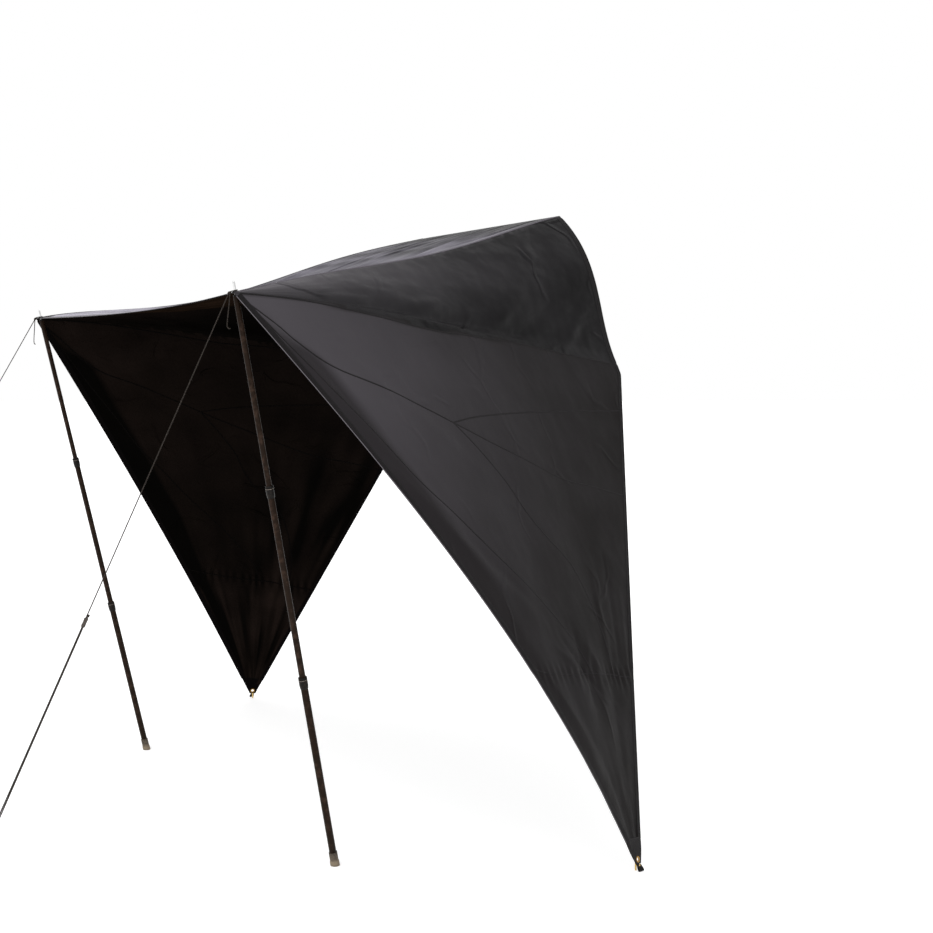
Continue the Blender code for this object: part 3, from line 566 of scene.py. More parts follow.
def stitched(name, base, thread, row, ior=1.18):
    # cloth or webbing sewn down with a row of lockstitch a few millimetres inside each edge
    mat = newMaterial(name)
    edge, weave = finish[row]
    place = addNode(mat, "UVMap", uv_map="cut")
    along = addNode(mat, "SeparateXYZ", [place]).outputs
    dash = addNode(mat, "Math", [along["X"], 2 * pi / finish["stitch"]], operation="MULTIPLY")
    dash = addNode(mat, "Math", [dash], operation="SINE")
    dash = addNode(mat, "MapRange", [dash, -0.5, -0.1])
    line = addNode(mat, "Math", [along["Y"], edge], operation="SUBTRACT")
    line = addNode(mat, "Math", [line], operation="ABSOLUTE")
    line = addNode(mat, "MapRange", [line, 0.0003, 0.0007, 1, 0])
    stitch = addNode(mat, "Math", [dash, line], operation="MULTIPLY")
    wear = addNode(mat, "TexNoise", [place, 60, 3])
    worn = addNode(mat, "MapRange", [wear, 0, 1, 0.75, 1.25])
    shade = addNode(mat, "VectorMath", [linear(finish[base])[:3], worn], operation="MULTIPLY")
    tone = addNode(mat, "Mix", [stitch, shade, linear(finish[thread])], data_type="RGBA")
    yarn = weaveHeight(mat, place, weave)
    low = addNode(mat, "Bump", {"Strength": 0.5, "Distance": 0.0005, "Height": yarn})
    bump = addNode(mat, "Bump", {"Distance": 0.0006, "Height": stitch, "Normal": low})
    return setShader(mat, {"Base Color": tone, "Normal": bump, "IOR": ior, "Roughness": 0.6})


wingMat = outerCloth("coatedPolyesterWing", finish["wing"], 1.13, 0.42, (0.008, 0.002), (1, 0.6, 1))
gussetMat = outerCloth("coatedPolyesterGusset", finish["gusset"], 1.16, 0.36,
                       (0.028, 0.009), (0.7, 1, 1))
roofMat = outerCloth("coatedPolyesterRoof", finish["roof"], 1.16, 0.36, (0.085, 0.014), (1, 0.16, 1))
innerMat = innerCloth("coatedPolyesterInner", finish["inner"])
roofInnerMat = innerCloth("coatedPolyesterRoofInner", finish["roofInner"])
# a band's finish outside, then inside, then the painted highlight on the fold that shows
seamMat = (stitched("felledSeamCloth", "seam", "thread", "seamRow"),
           stitched("felledSeamInside", "seamInside", "threadInside", "seamRow", 1.08))
# the ridge seam's pale colour is a painted highlight
ridgeHighlightMat = (stitched("felledRidgePaintedHighlight", "ridge", "ridgeHighlightThread", "seamRow"), seamMat[1])
hemMat = (stitched("wovenBinding", "webbing", "thread", "bindingRow"),
          stitched("wovenBindingInside", "webbingInside", "threadInside", "bindingRow", 1.08),
          stitched("wovenBindingPaintedHighlight", "edge", "edge", "bindingRow"))
# the roof's front binding is pale with painted sheen, like the roof's top
roofHemPaintedSheenMat = (stitched("wovenRoofBindingPaintedSheen", "roofHemPaintedSheen", "roofHemThreadPaintedSheen", "bindingRow"), hemMat[1])


# Canopy

def settle(obj, side, base, slot, mats, node=None, body=None):
    # the finished piece's name, finishes and body, and the CAD node that it stands in for; slot is not
    # used
    obj.name = obj.data.name = sideName(base, side)
    for mat in mats:
        obj.data.materials.append(mat)
    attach(obj, sideName(body, side) if body else "canopy")
    if node:
        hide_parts(sideName(node, side))
    return obj


def skin(bm, rows, cutPlace, slotOf=None, closed=False, looped=False):
    # quads between rows of points, each corner with its place on the cut cloth; a slot of None is a hole
    cut = bm.loops.layers.uv["cut"]
    verts = [[bm.verts.new(point) for point in row] for row in rows]
    high, wide = len(rows), len(rows[0])
    for j in range(high if looped else high - 1):
        for i in range(wide if closed else wide - 1):
            slot = slotOf(i, j) if slotOf else 0
            if slot is None:
                continue
            ends = ((i, j), (i + 1, j), (i + 1, j + 1), (i, j + 1))
            face = bm.faces.new([verts[b % high][a % wide] for a, b in ends])
            face.material_index = slot
            for loop, (a, b) in zip(face.loops, ends):
                loop[cut].uv = cutPlace(a, b)
    if closed and not looped:
        bm.faces.new(verts[0])
        bm.faces.new(verts[-1])
    return verts


def newSheet():
    bm = bmesh.new()
    bm.loops.layers.uv.new("cut")
    return bm


def fromSheet(bm):
    bmesh.ops.recalc_face_normals(bm, faces=bm.faces)
    mesh = bpy.data.meshes.new("sheet")
    bm.to_mesh(mesh)
    bm.free()
    obj = bpy.data.objects.new("sheet", mesh)
    bpy.context.scene.collection.objects.link(obj)
    return obj


def only(obj):
    deselect()
    obj.select_set(True)
    bpy.context.view_layer.objects.active = obj


def smoothed(obj, angle):
    only(obj)
    bpy.ops.object.shade_smooth_by_angle(angle=radians(angle))


def modify(obj, kind, **values):
    # adds a modifier and applies it
    modifier = obj.modifiers.new(kind.lower(), kind)
    for key, value in values.items():
        setattr(modifier, key, value)
    only(obj)
    bpy.ops.object.modifier_apply(modifier=modifier.name)


tones = {
    "paintedFrontShade": [(0.05, 0.080), (0.12, 0.150), (0.22, 0.150), (0.34, 0.150), (0.48, 0.150), (0.65, 0.110),
              (0.85, 0.070), (1.0, 0.030)],  # down the wing, and the width of the painted shade behind the front edge in m
    "roofPaintedSheen": [(0.0, 0.8), (0.3, 0.6), (0.55, 0.27), (0.7, 0.24), (0.8, 0.27), (0.9, 0.12), (0.95, 0.0),
                 (1.0, 0.0)],  # the roof's painted sheen, from the poles to the back edge
    "seamDip": [(0.0, 0.001), (0.14, 0.003), (0.28, 0.011), (0.42, 0.0175), (0.55, 0.010), (0.70, 0.001),
                (1.0, 0.001)],  # the side seam lies this far down the wing
}


def fromTable(table, x):
    # even steps between the rows of a short table
    for (a, low), (b, high) in zip(table, table[1:]):
        if x <= b:
            share = clamp((x - a) / (b - a))
            return low + (high - low) * share * share * (3 - 2 * share)
    return table[-1][1]


def frontShadeShare(side, u, v):
    # painted shade on the facing behind the wing's front edge, where the cloth turns in: 1 there, and 0
    # past it
    reach = fromTable(tones["paintedFrontShade"], v)
    return clamp((reach - u * wingWidth(side, v)) / 0.05) * clamp((v - 0.02) / 0.08) * 0.75


def paintedLightOf(panel, u, v):
    # painted light and shade: paler towards the pole and under the roof's front, darker away from them;
    # on the roof, a painted sheen
    if panel == "wing":
        wing = exp(-(u / 0.46) ** 1.6 - (v / 0.45) ** 2)
        over = clamp(1 + (fromTable(tones["seamDip"], u) - v) / 0.004)
        return wing + (paintedLightOf("gusset", u, 0) - wing) * over
    if panel == "gusset":
        back = 0.07 * exp(-((v - 0.72) / 0.22) ** 2) * min(1, 2 * u)
        return exp(-(u / 0.31) ** 1.3) * (0.18 + 0.92 * v) + back
    streak = wobble(u * 2.5, (v - 0.29 * u) * 24, 3.7)  # painted sheen in faint lines across, nearly level
    return fromTable(tones["roofPaintedSheen"], v) * (1 + 0.9 * streak)


def litOf(panel, u, v):
    # how much daylight comes through to the inside: more low down and on the folds that stand proud
    if panel != "wing":
        return paintedLightOf(panel, u, v)
    below = clamp((v - cloth["gatherLine"]) / 0.05)
    rear = clamp((u - 0.45) / 0.4) * exp(-((v - 0.5) / 0.2) ** 2)
    streak = wobble(u * 11, v * 5.3, 5.1) + 0.7 * wobble(u * 27, v * 6.1, 8.4)
    pucker = puckerLift("wing", u, v) / folds["puckerDepth"]
    pale = 0.25 + 0.42 * exp(-(u / 0.5) ** 1.7 - (v / 0.45) ** 2) + 0.28 * below
    return max(0, pale + streak * (0.12 + 0.75 * max(below, rear)) + 0.45 * pucker)


def makeCanopy():
    bm = newSheet()
    band, tone, lit = (bm.verts.layers.float.new(name) for name in ("frontShadeBand", "tone", "lit"))
    # where each panel starts on the cut cloth, which keeps them apart
    cutFrom = {"roof": (0, 0), "gusset": (3, 0), "wing": (0, 4)}
    for (panel, side), points in grids.items():
        columns, rows = panelLines[panel]

        def cutPlace(i, j):
            x, y = patternPlace(panel, columns[i], rows[j])
            return x + cutFrom[panel][0] + (9 if side < 0 else 0), y + cutFrom[panel][1]

        def slotOf(i, j):
            if panel == "roof":  # the pole corner's patch and grommet go in the hole
                return None if min(columns[i], 1 - columns[i + 1]) < 0.02 and rows[j] < 0.02 else 4
            aboveSeam = panel == "gusset" or rows[j + 1] < fromTable(tones["seamDip"], columns[i])
            return 2 if aboveSeam else 0

        for line, v in zip(skin(bm, points, cutPlace, slotOf), rows):
            for vert, u in zip(line, columns):
                # per point: painted shade behind the wing's front edge, painted light and shade outside,
                # and painted light through the cloth inside
                vert[band] = frontShadeShare(side, u, v) if panel == "wing" else 0
                vert[tone] = paintedLightOf(panel, u, v)
                vert[lit] = litOf(panel, u, v)
    bmesh.ops.remove_doubles(bm, verts=bm.verts, dist=0.0003)
    obj = fromSheet(bm)
    mats = (wingMat, innerMat, gussetMat, innerMat, roofMat, roofInnerMat)
    settle(obj, 0, "canopy", "canopy_cloth", mats)
    modify(obj, "SOLIDIFY", thickness=cloth["wall"], offset=0, material_offset=1)
    smoothed(obj, 50)
    nodes = [sideName(base, side) for base in ("gusset", "wing_upper", "wing_lower") for side in sides]
    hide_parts("roof_panel", *nodes)
    return obj


canopy = makeCanopy()
print("canopy made,", len(canopy.data.polygons), "faces")


# Seams, hems and tapes: bands that lie round the sheet

def softCurve(start, end, leave, arrive, count):
    # the points after start of a curve that leaves and arrives along two given pulls
    for k in range(1, count + 1):
        t = k / count
        pull = leave * (t ** 3 - 2 * t ** 2 + t) + arrive * (t ** 3 - t ** 2)
        yield start.lerp(end, t * t * (3 - 2 * t)) + pull


def smoothLine(points, perSpan):
    # a curve through given points
    points = [Vector((u, v, 0)) for u, v in points]
    found = [points[0]]
    for i, (a, b) in enumerate(zip(points, points[1:])):
        leave = (b - points[max(i - 1, 0)]) / 2
        arrive = (points[min(i + 2, len(points) - 1)] - a) / 2
        found += softCurve(a, b, leave, arrive, perSpan)
    return found


def makeBand(side, base, places, halfWidth, lift, mats, node=None, highlightFace=None):
    # a flat band round the sheet, along points with their normals; the face named by the last argument
    # gets a painted highlight on its edge
    last = len(places) - 1
    rings, run = [], [0.0]
    flat = halfWidth - (0.0010 if highlightFace is None else 0.0024)
    top = [(-halfWidth, 0.4), (-flat, 1), (0, 1), (flat, 1), (halfWidth, 0.4)]
    section = top + [(x, -y) for x, y in reversed(top)]
    inside = (0, 0.001, halfWidth, 0.001, 0) * 2  # how far from the edge each corner lies
    for k, (point, _) in enumerate(places):
        if k:
            run.append(run[-1] + (point - places[k - 1][0]).length)
        near = (places[min(max(k + d, 0), last)][1] for d in (-2, -1, 0, 1, 2))
        normal = sum(near, Vector()).normalized()
        tangent = (places[min(k + 1, last)][0] - places[max(k - 1, 0)][0]).normalized()
        across = normal.cross(tangent).normalized()
        ripple = 1 + 0.16 * wobble(run[-1] * 70, lift * 900)
        rings.append([point + across * x + normal * (y * lift * ripple) for x, y in section])
    bm = newSheet()
    skin(bm, rings, lambda i, k: (run[k], inside[i % 10]),
         lambda i, k: 2 if i == highlightFace else (0 if i < 5 else 1), closed=True)
    obj = fromSheet(bm)
    smoothed(obj, 40)
    slot = "canopy_cloth" if mats in (seamMat, ridgeHighlightMat) else "webbing"
    return settle(obj, side, base, slot, mats, node)


seams = {
    "halfWidth": 0.0032,
    "lift": 0.0012,
    "wing": {
        "seam_diagonal": [(0.012, 0.022), (0.034, 0.057), (0.048, 0.083), (0.088, 0.125), (0.176, 0.154),
                          (0.343, 0.207), (0.486, 0.242), (0.706, 0.283), (0.864, 0.291), (0.985, 0.301)],
        "seam_branch": [(0.343, 0.207), (0.438, 0.304), (0.482, 0.368), (0.542, 0.412), (0.635, 0.458),
                        (0.700, 0.520), (0.760, 0.600), (0.790, 0.663)],
        "seam_level": [(0.343, 0.207), (0.442, 0.186), (0.604, 0.159), (0.800, 0.131), (0.988, 0.110)],
        "seam_facing": [(0.010, 0.030), (0.020, 0.085), (0.037, 0.163), (0.058, 0.229), (0.093, 0.324),
                        (0.142, 0.379), (0.211, 0.448), (0.303, 0.507), (0.440, 0.581), (0.513, 0.619),
                        (0.559, 0.665)],
        "seam_gathered": [(0.010, 0.652), (0.107, 0.663), (0.370, 0.669), (0.640, 0.665), (0.985, 0.670)],
        "seam_side": [(0.012, 0.001)] + tones["seamDip"][1:-1] + [(0.990, 0.001)],
    },
    "gusset": {
        "seam_ridge": [(0.016, 0.999), (0.250, 0.999), (0.500, 0.999), (0.750, 0.999), (0.990, 0.999)],
    },
}
hems = {
    "lift": 0.0016,
    "frontWidth": 0.025, "wingWidth": 0.022, "rearWidth": 0.018, "tapeWidth": 0.030,
    "tapeEnd": 0.495, "topTape": (0, 0.77213, 2.35836), "topNormal": (0, 0.96527, 0.26127),
}


def makeBands():
    made = []
    down = steps(0.004, 0.957, 190)
    for side in sides:
        for panel in ("wing", "gusset"):
            for base, line in seams[panel].items():
                dense = smoothLine(line, max(6, 110 // len(line)))
                places = [onCloth(panel, side, p.x, p.y) for p in dense]
                made.append(makeBand(side, base, places, seams["halfWidth"], seams["lift"],
                                     ridgeHighlightMat if base == "seam_ridge" else seamMat))
        front, rear, tape = (hems[name] / 2 for name in ("wingWidth", "rearWidth", "tapeWidth"))
        frontLine = [(front / wingWidth(side, v), v) for v in down]
        rearLine = [(1 - rear / wingWidth(side, v), v) for v in down]
        tapeLine = [(1 - tape / panelSize["gusset"][0], v) for v in steps(0.004, 0.985, 60)]
        # the painted highlight goes on a different face of the binding on each side
        highlightFaceIndex = 0 if side > 0 else 3
        for base, node, line, half, highlightFace in (
                ("front_binding", "wing_front_hem", frontLine, front + 0.0012, highlightFaceIndex),
                ("rear_binding", "wing_rear_hem", rearLine, rear + 0.0012, None),
                ("tent_edge_binding", "tent_edge_tape", tapeLine, tape + 0.0008, None)):
            panel = "gusset" if line is tapeLine else "wing"
            places = [onCloth(panel, side, u, v) for u, v in line]
            made.append(makeBand(side, base, places, half, hems["lift"], hemMat, node, highlightFace))
    half = hems["frontWidth"] / 2
    places = [onCloth("roof", 1, u, half / panelSize["roof"][1]) for u in steps(0.0285, 0.9715, 170)]
    made.append(makeBand(0, "roof_front_binding", places, half + 0.0012, hems["lift"], roofHemPaintedSheenMat,
                         "roof_front_hem"))
    middle, normal = Vector(hems["topTape"]), Vector(hems["topNormal"])
    places = [(middle + Vector((x, 0, 0)) + normal * (0.0006 * wobble(x * 9, 3.1)), normal)
              for x in steps(-hems["tapeEnd"], hems["tapeEnd"], 60)]
    made.append(makeBand(0, "tent_edge_binding_top", places, hems["tapeWidth"] / 2, 0.0015, hemMat,
                         "tent_edge_tape_top"))
    return made


bands = makeBands()
print("seams and bindings made")


# Poles and ropes: where they stand and run, as in the frame

poles = {
    "foot": (0.8905, -0.5215, 0),
    "holeMargin": 0.0158,  # from the cloth's edges to the middle of the grommet
    # from here on in mm
    "tubes": {"lower": 12.5, "middle": 11.0, "upper": 9.5},  # outer radius
    "wall": 1.0,
    "stations": {"lower": 695, "upper": 1366},  # tops of the two outer tubes above the foot
    "overlap": 80,
    "gap": 0.3,
    "spike": [(0, 31), (0.9, 30.8), (1.5, 30.3), (2.6, 28.8), (3.4, 27.0), (3.85, 25.6), (4.0, 24.6),
              (4.0, -27.2), (0, -27.2)],
    "plug": [(4.3, -11.2), (6.0, -11.5), (8.6, -12.9), (9.3, -13.5), (9.5, -14.3), (9.5, -17.2),
             (9.2, -17.8), (8.2, -17.8), (8.2, -47.3), (7.7, -47.8), (0, -47.8), (0, -27.5),
             (4.3, -27.5), (4.3, -11.2)],
    "lip": [(2.5, 1.5), (2.78, 1.3), (2.78, 0.6), (2.5, 0.4), (1.5, 0.4), (1.5, 1.5), (2.5, 1.5)],
}
guy = {
    "angle": 14.27, "drawnHeight": 1970.8, "eyeFall": 0.225, "eyeRise": 0.115, "eyeReach": 0.060,
    "ropeRadius": 0.00175, "pegRun": 1103.2, "slope": 60.93,
    "ropeLength": 3.45, "tailLength": 0.126,
    # mm: towards the peg, to the outer side, up from the ground
    "eye": [
        (17.2, 2.2, 1967.2), (11.5, 2.2, 1968.5), (8.3, 2.9, 1969.3), (5.7, 4.8, 1970.1),
        (2.5, 6.9, 1971), (-1.2, 7, 1971.9), (-4.4, 5.2, 1972.4), (-6.3, 1.9, 1972.4),
        (-6.3, -1.9, 1972),
        (-4.4, -5.2, 1971.2), (-1.2, -7, 1970.3), (2.5, -6.9, 1969.4), (5.7, -4.8, 1969),
        (8.3, -2.9, 1968.6), (11.5, -2.2, 1968), (16, -2.2, 1966.9), (18.6, -2.2, 1966),
        (20.8, -2.2, 1964.3), (22.6, -2.2, 1962), (26, -2.2, 1955.9), (34, -2.2, 1941.5),
        (60, -2.2, 1894.7), (150, -2.3, 1732.9), (400, -2.6, 1283.4), (530, -2.8, 1049.6)],
    # through the tensioner to the peg's hook; the rope comes back beside it
    "strand": [
        (562, -2.8, 992.1), (592, -2.8, 938.1), (760, -2.8, 636), (960, -4.8, 276.4), (1060, -6.7, 96.6),
        (1090, -7.3, 42.7), (1101, -7.4, 22.9), (1105.1, -7.4, 15.5), (1106.9, -6.4, 12.3),
        (1108.2, -3.7, 9.9), (1108.7, 0, 9)],
    "end": (552.5, 2.8, 1009.1),
    "tail": [
        (17.7, 2.2, 1967.1), (20, 2.5, 1966.1), (22.2, 3.1, 1963.7), (23.6, 3.8, 1960.4),
        (24.4, 4.2, 1955), (25.5, 3.6, 1940), (27.2, 1.6, 1915), (28.9, -0.6, 1892), (30.2, -2.4, 1872),
        (30.4, -2.9, 1862), (29.8, -2, 1855), (27.6, 0.8, 1850.8), (24.6, 4.6, 1850.6)],
    "knot": ((20.9, 0, 1963.9), (25.3, 0, 1957.6)),
}


def normalAt(panel, side, u, v):
    base, d = bases[panel], 0.002
    along = base(side, min(u + d, 1), v) - base(side, max(u - d, 0), v)
    down = base(side, u, min(v + d, 1)) - base(side, u, max(v - d, 0))
    return facing(along.cross(down).normalized(), panel, side)


def placeOn(point, axis):
    # the place of a piece that stands on a point, with its own Z along an axis
    return Matrix.Translation(point) @ axis.to_track_quat("Z", "Y").to_matrix().to_4x4()


def placeWith(point, x, y, z):
    return Matrix.Translation(point) @ Matrix((x, y, z)).transposed().to_4x4()


class Pole:
    def __init__(self, side):
        c = corners[side]
        u = poles["holeMargin"] / (2 * abs(c.front.x))
        hole = (1 - u if side > 0 else u, poles["holeMargin"] / (c.top - c.front).length)
        self.normal = normalAt("roof", side, *hole)
        self.hole = roofBase(side, *hole)
        self.pivot = Vector(joints[sideName("pole_tilt", side)]["pos_m"])
        reach = self.pivot - Vector(poles["foot"]) * Vector((side, 1, 1))
        self.length = reach.length * 1000
        self.place = placeOn(self.pivot, reach.normalized())
        angle = radians(guy["angle"])
        self.heading = Vector((side * sin(angle), -cos(angle), 0))
        self.outer = Vector((-side * self.heading.y, side * self.heading.x, 0))


stands = {side: Pole(side) for side in sides}


def guyPlace(side, run, out, height):
    pole = stands[side]
    fall = pole.normal.dot(pole.heading) / pole.normal.z - guy["eyeFall"]
    rise = -pole.normal.dot(pole.outer) / pole.normal.z - guy["eyeRise"]
    tilt = (rise * out - fall * run) * max(0, 1 - abs(run) / 1000 / guy["eyeReach"])
    level = height * pole.pivot.z / guy["drawnHeight"] + tilt / 1000
    return Vector((pole.pivot.x, pole.pivot.y, level)) + (pole.heading * run + pole.outer * out) / 1000


def ropeLine(side, route):
    # a smooth line through the route, whose bends stay close to the points
    route = [guyPlace(side, *place) for place in route]
    found = [route[0]]
    for i, (start, end) in enumerate(zip(route, route[1:])):
        span = (end - start).length
        leave = arrive = end - start
        if i > 0:
            leave = (end - route[i - 1]).normalized() * min(span, (start - route[i - 1]).length * 1.5)
        if i < len(route) - 2:
            arrive = (route[i + 2] - start).normalized() * min(span, (route[i + 2] - end).length * 1.5)
        found += softCurve(start, end, leave, arrive, 3 if span < 0.012 else 6)
    return found


hardware = {
    # each finish with its worn or duller tone
    "tube": ("#20160f", "#43332a"), "blackNylon": ("#0e0b09", "#2b231d"),
    "paleNylon": ("#9a8f86", "#4a443f"), "greyNylon": ("#4a443f", "#2b231d"),
    "rubber": ("#3d342b", "#8d7f6b"), "steel": ("#cfcfcf", "#a7a6a4"), "brass": ("#9c7838", "#6b5129"),
    "blackOxide": ("#2b2825", "#0e0b09"), "zinc": ("#c9ac6d", "#9a8050"),
    "rope": ("#0c0908", "#322b26"), "ropeFleck": "#5c534b", "plait": 0.0012,
}


def blotched(mat, place, scale, low, high, tones):
    # two colours that run into each other over noise of a given size
    spots = addNode(mat, "TexNoise", [place, scale, 5, 0.6])
    share = addNode(mat, "MapRange", [spots, low, high])
    return share, addNode(mat, "Mix", [share, linear(tones[0]), linear(tones[1])],
                          data_type="RGBA")


def surface(mat, color, height, depth, share, rough, inputs):
    # colour, a bump of depth metres, and a roughness that follows a share from one value to another
    bump = addNode(mat, "Bump", {"Distance": depth, "Height": height})
    level = addNode(mat, "MapRange", [share, 0, 1, rough[0], rough[1]])
    return setShader(mat, {"Base Color": color, "Normal": bump, "Roughness": level, **inputs})


def ownPlace(mat):
    return addNode(mat, "Attribute", attribute_name="own").outputs["Vector"]


def coatedTube():
    # drawn tube, powder coated brown-black: satin, with faint draw lines under the coat
    mat = newMaterial("powderCoatedTube")
    place = ownPlace(mat)
    share, color = blotched(mat, place, 45, 0.50, 0.78, hardware["tube"])
    lines = addNode(mat, "VectorMath", [place, (700, 700, 4)], operation="MULTIPLY")
    drawn = addNode(mat, "TexNoise", [lines, 1, 2])
    return surface(mat, color, drawn, 0.00012, share, (0.42, 0.55),
                   {"IOR": 1.2, "Specular IOR Level": 0.35})


def mouldedNylon(name, tones, inFrame=False):
    # injection-moulded nylon: fine spark-eroded grain, paler where hands turn it
    mat = newMaterial(name)
    place = addNode(mat, "TexCoord").outputs["Object"] if inFrame else ownPlace(mat)
    share, color = blotched(mat, place, 120, 0.48, 0.80, hardware[tones])
    grain = addNode(mat, "TexNoise", [place, 2600, 2])
    return surface(mat, color, grain, 0.00006, share, (0.42, 0.58), {"IOR": 1.24})


def dustyRubber():
    # moulded rubber, scuffed and with dry dust on it, thickest at the ground
    mat = newMaterial("dustyMouldedRubber")
    place = addNode(mat, "TexCoord").outputs["Object"]
    spots = addNode(mat, "TexNoise", [place, 90, 6, 0.65])
    height = addNode(mat, "SeparateXYZ", [place]).outputs["Z"]
    low = addNode(mat, "MapRange", [height, 0.034, 0.006])
    both = addNode(mat, "Math", [low, 0.55], operation="MULTIPLY")
    both = addNode(mat, "Math", [both, spots])
    level = addNode(mat, "MapRange", [both, 0.45, 0.95])
    clean, dust = hardware["rubber"]
    mix = addNode(mat, "Mix", [level, linear(clean), linear(dust)], data_type="RGBA")
    return surface(mat, mix, spots, 0.0004, level, (0.7, 0.95), {"IOR": 1.5})


def turnedMetal(name, tones, rough):
    # plated or rolled metal: bright, with tool marks round it and duller spots
    mat = newMaterial(name)
    place = ownPlace(mat)
    share, color = blotched(mat, place, 160, 0.52, 0.80, hardware[tones])
    marks = addNode(mat, "VectorMath", [place, (60, 60, 2400)], operation="MULTIPLY")
    fine = addNode(mat, "TexNoise", [marks, 1, 2])
    return surface(mat, color, fine, 0.00003, share, (rough, rough + 0.22), {"Metallic": 1.0})


def braidedRope():
    # braided polyester guy line: a diamond braid of 1.2 mm plaits with a paler fleck yarn
    mat = newMaterial("braidedPolyesterRope")
    place = addNode(mat, "UVMap", uv_map="cut")
    waves = []
    for sign in (1, -1):
        slant = addNode(mat, "Mapping", {"Rotation": (0, 0, sign * radians(38)), "Vector": place})
        waves.append(addNode(mat, "TexWave", [slant, waveLength / hardware["plait"]]))
    plait = addNode(mat, "Math", [waves[0], waves[1]], operation="MAXIMUM")
    fleck = addNode(mat, "TexNoise", [place, 420, 1])
    fleck = addNode(mat, "MapRange", [fleck, 0.62, 0.70])
    dark, light = hardware["rope"]
    tone = addNode(mat, "Mix", [plait, linear(dark), linear(light)], data_type="RGBA")
    both = addNode(mat, "Mix", [fleck, tone, linear(hardware["ropeFleck"])],
                   data_type="RGBA")
    return surface(mat, both, plait, 0.0005, plait, (0.85, 0.65), {"IOR": 1.3})


tubeMat = coatedTube()
blackMat = mouldedNylon("mouldedBlackNylon", "blackNylon")
paleMat = mouldedNylon("mouldedPaleNylon", "paleNylon")
greyMat = mouldedNylon("mouldedGreyNylon", "greyNylon")
rubberMat = dustyRubber()
steelMat = turnedMetal("zincPlatedSpikeSteel", "steel", 0.18)
brassMat = turnedMetal("rolledBrass", "brass", 0.22)
eyeletMat = turnedMetal("blackOxideEyeletBrass", "blackOxide", 0.35)
pegMat = turnedMetal("yellowZincPegSteel", "zinc", 0.26)
ropeMat = braidedRope()


def makeCord(side, base, path, radius, ends, node=None):
    # a round cord on a path, its frame carried along so that the braid doesn't twist
    around = 14
    ahead, behind = (path[1] - path[0]).normalized(), (path[-1] - path[-2]).normalized()
    path = [path[0] - ahead * radius * 0.5] + list(path) + [path[-1] + behind * radius * 0.5]
    last = len(path) - 1
    tangents = [(path[min(k + 1, last)] - path[max(k - 1, 0)]).normalized() for k in range(last + 1)]
    across = tangents[0].orthogonal().normalized()
    rings, run = [], [0.0]
    for k, point in enumerate(path):
        if k:
            across = (across - tangents[k] * across.dot(tangents[k])).normalized()
            run.append(run[-1] + (point - path[k - 1]).length)
        up = tangents[k].cross(across)
        share = {0: ends[0], last: ends[1]}.get(k, 1)
        turns = [2 * pi * i / around for i in range(around)]
        rings.append([point + (across * cos(turn) + up * sin(turn)) * radius * share for turn in turns])
    bm = newSheet()
    skin(bm, rings, lambda i, k: (run[k], i / around * 2 * pi * radius), closed=True)
    for face in bm.faces:
        face.smooth = len(face.verts) == 4
    return settle(fromSheet(bm), side, base, "rope_cord", [ropeMat], node)


def makeRopes(side):
    pole, radius = stands[side], guy["ropeRadius"]
    back = [(run, -out, height) for run, out, height in guy["strand"][-2::-1]]
    rope = ropeLine(side, guy["eye"] + guy["strand"] + back + [guy["end"]])
    tail = ropeLine(side, guy["tail"])
    # the knot wraps both strands just past the cloth's edge
    start, end = (guyPlace(side, *place) for place in guy["knot"])
    up = (end - start).normalized().cross(pole.outer)
    wraps = []
    for k in range(73):
        angle = 2 * pi * k / 24
        swell = 1 - 0.12 * (k / 36 - 1) ** 2
        wraps.append(start.lerp(end, k / 72) + pole.outer * (5.5 * swell * cos(angle)) / 1000
                     + up * (3.4 * swell * sin(angle)) / 1000)
    knot = makeCord(side, "eye_knot", wraps, radius, (0.5, 0.5))
    # an overhand knot stops the rope's end above the tensioner
    away = (rope[-1] - rope[-2]).normalized()
    out = (pole.outer - away * pole.outer.dot(away)).normalized()
    over = away.cross(out)
    turns = []
    for k in range(61):
        angle = 4 * pi * k / 60
        swing = 2.5 + 0.9 * cos(1.5 * angle)
        turns.append(rope[-1] + away * (2.4 * sin(1.5 * angle) + 1.5) / 1000
                     + (out * cos(angle) + over * sin(angle)) * swing / 1000)
    stop = makeCord(side, "stopper_knot", turns, radius * 0.95, (0.6, 0.6))
    line = makeCord(side, "guy_line", rope, radius, (0.7, 0.7), "guy_rope")
    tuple(rope[0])
    loose = makeCord(side, "guy_line_tail", tail, radius, (0.7, 0.85), "guy_tail")
    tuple(tail[0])


for side in sides:
    makeRopes(side)
print("ropes made")


# Turned and bent pieces

def editMode(kind, action="SELECT"):
    bpy.ops.object.mode_set(mode="EDIT")
    bpy.ops.mesh.select_mode(type=kind)
    bpy.ops.mesh.select_all(action=action)


def extrude(x, y, z):
    bpy.ops.mesh.extrude_region_move(TRANSFORM_OT_translate={"value": (x, y, z)})


def closeUp():
    bpy.ops.mesh.select_all(action="SELECT")
    bpy.ops.mesh.remove_doubles(threshold=0.00002)
    bpy.ops.mesh.normals_make_consistent(inside=False)
    bpy.ops.object.mode_set(mode="OBJECT")


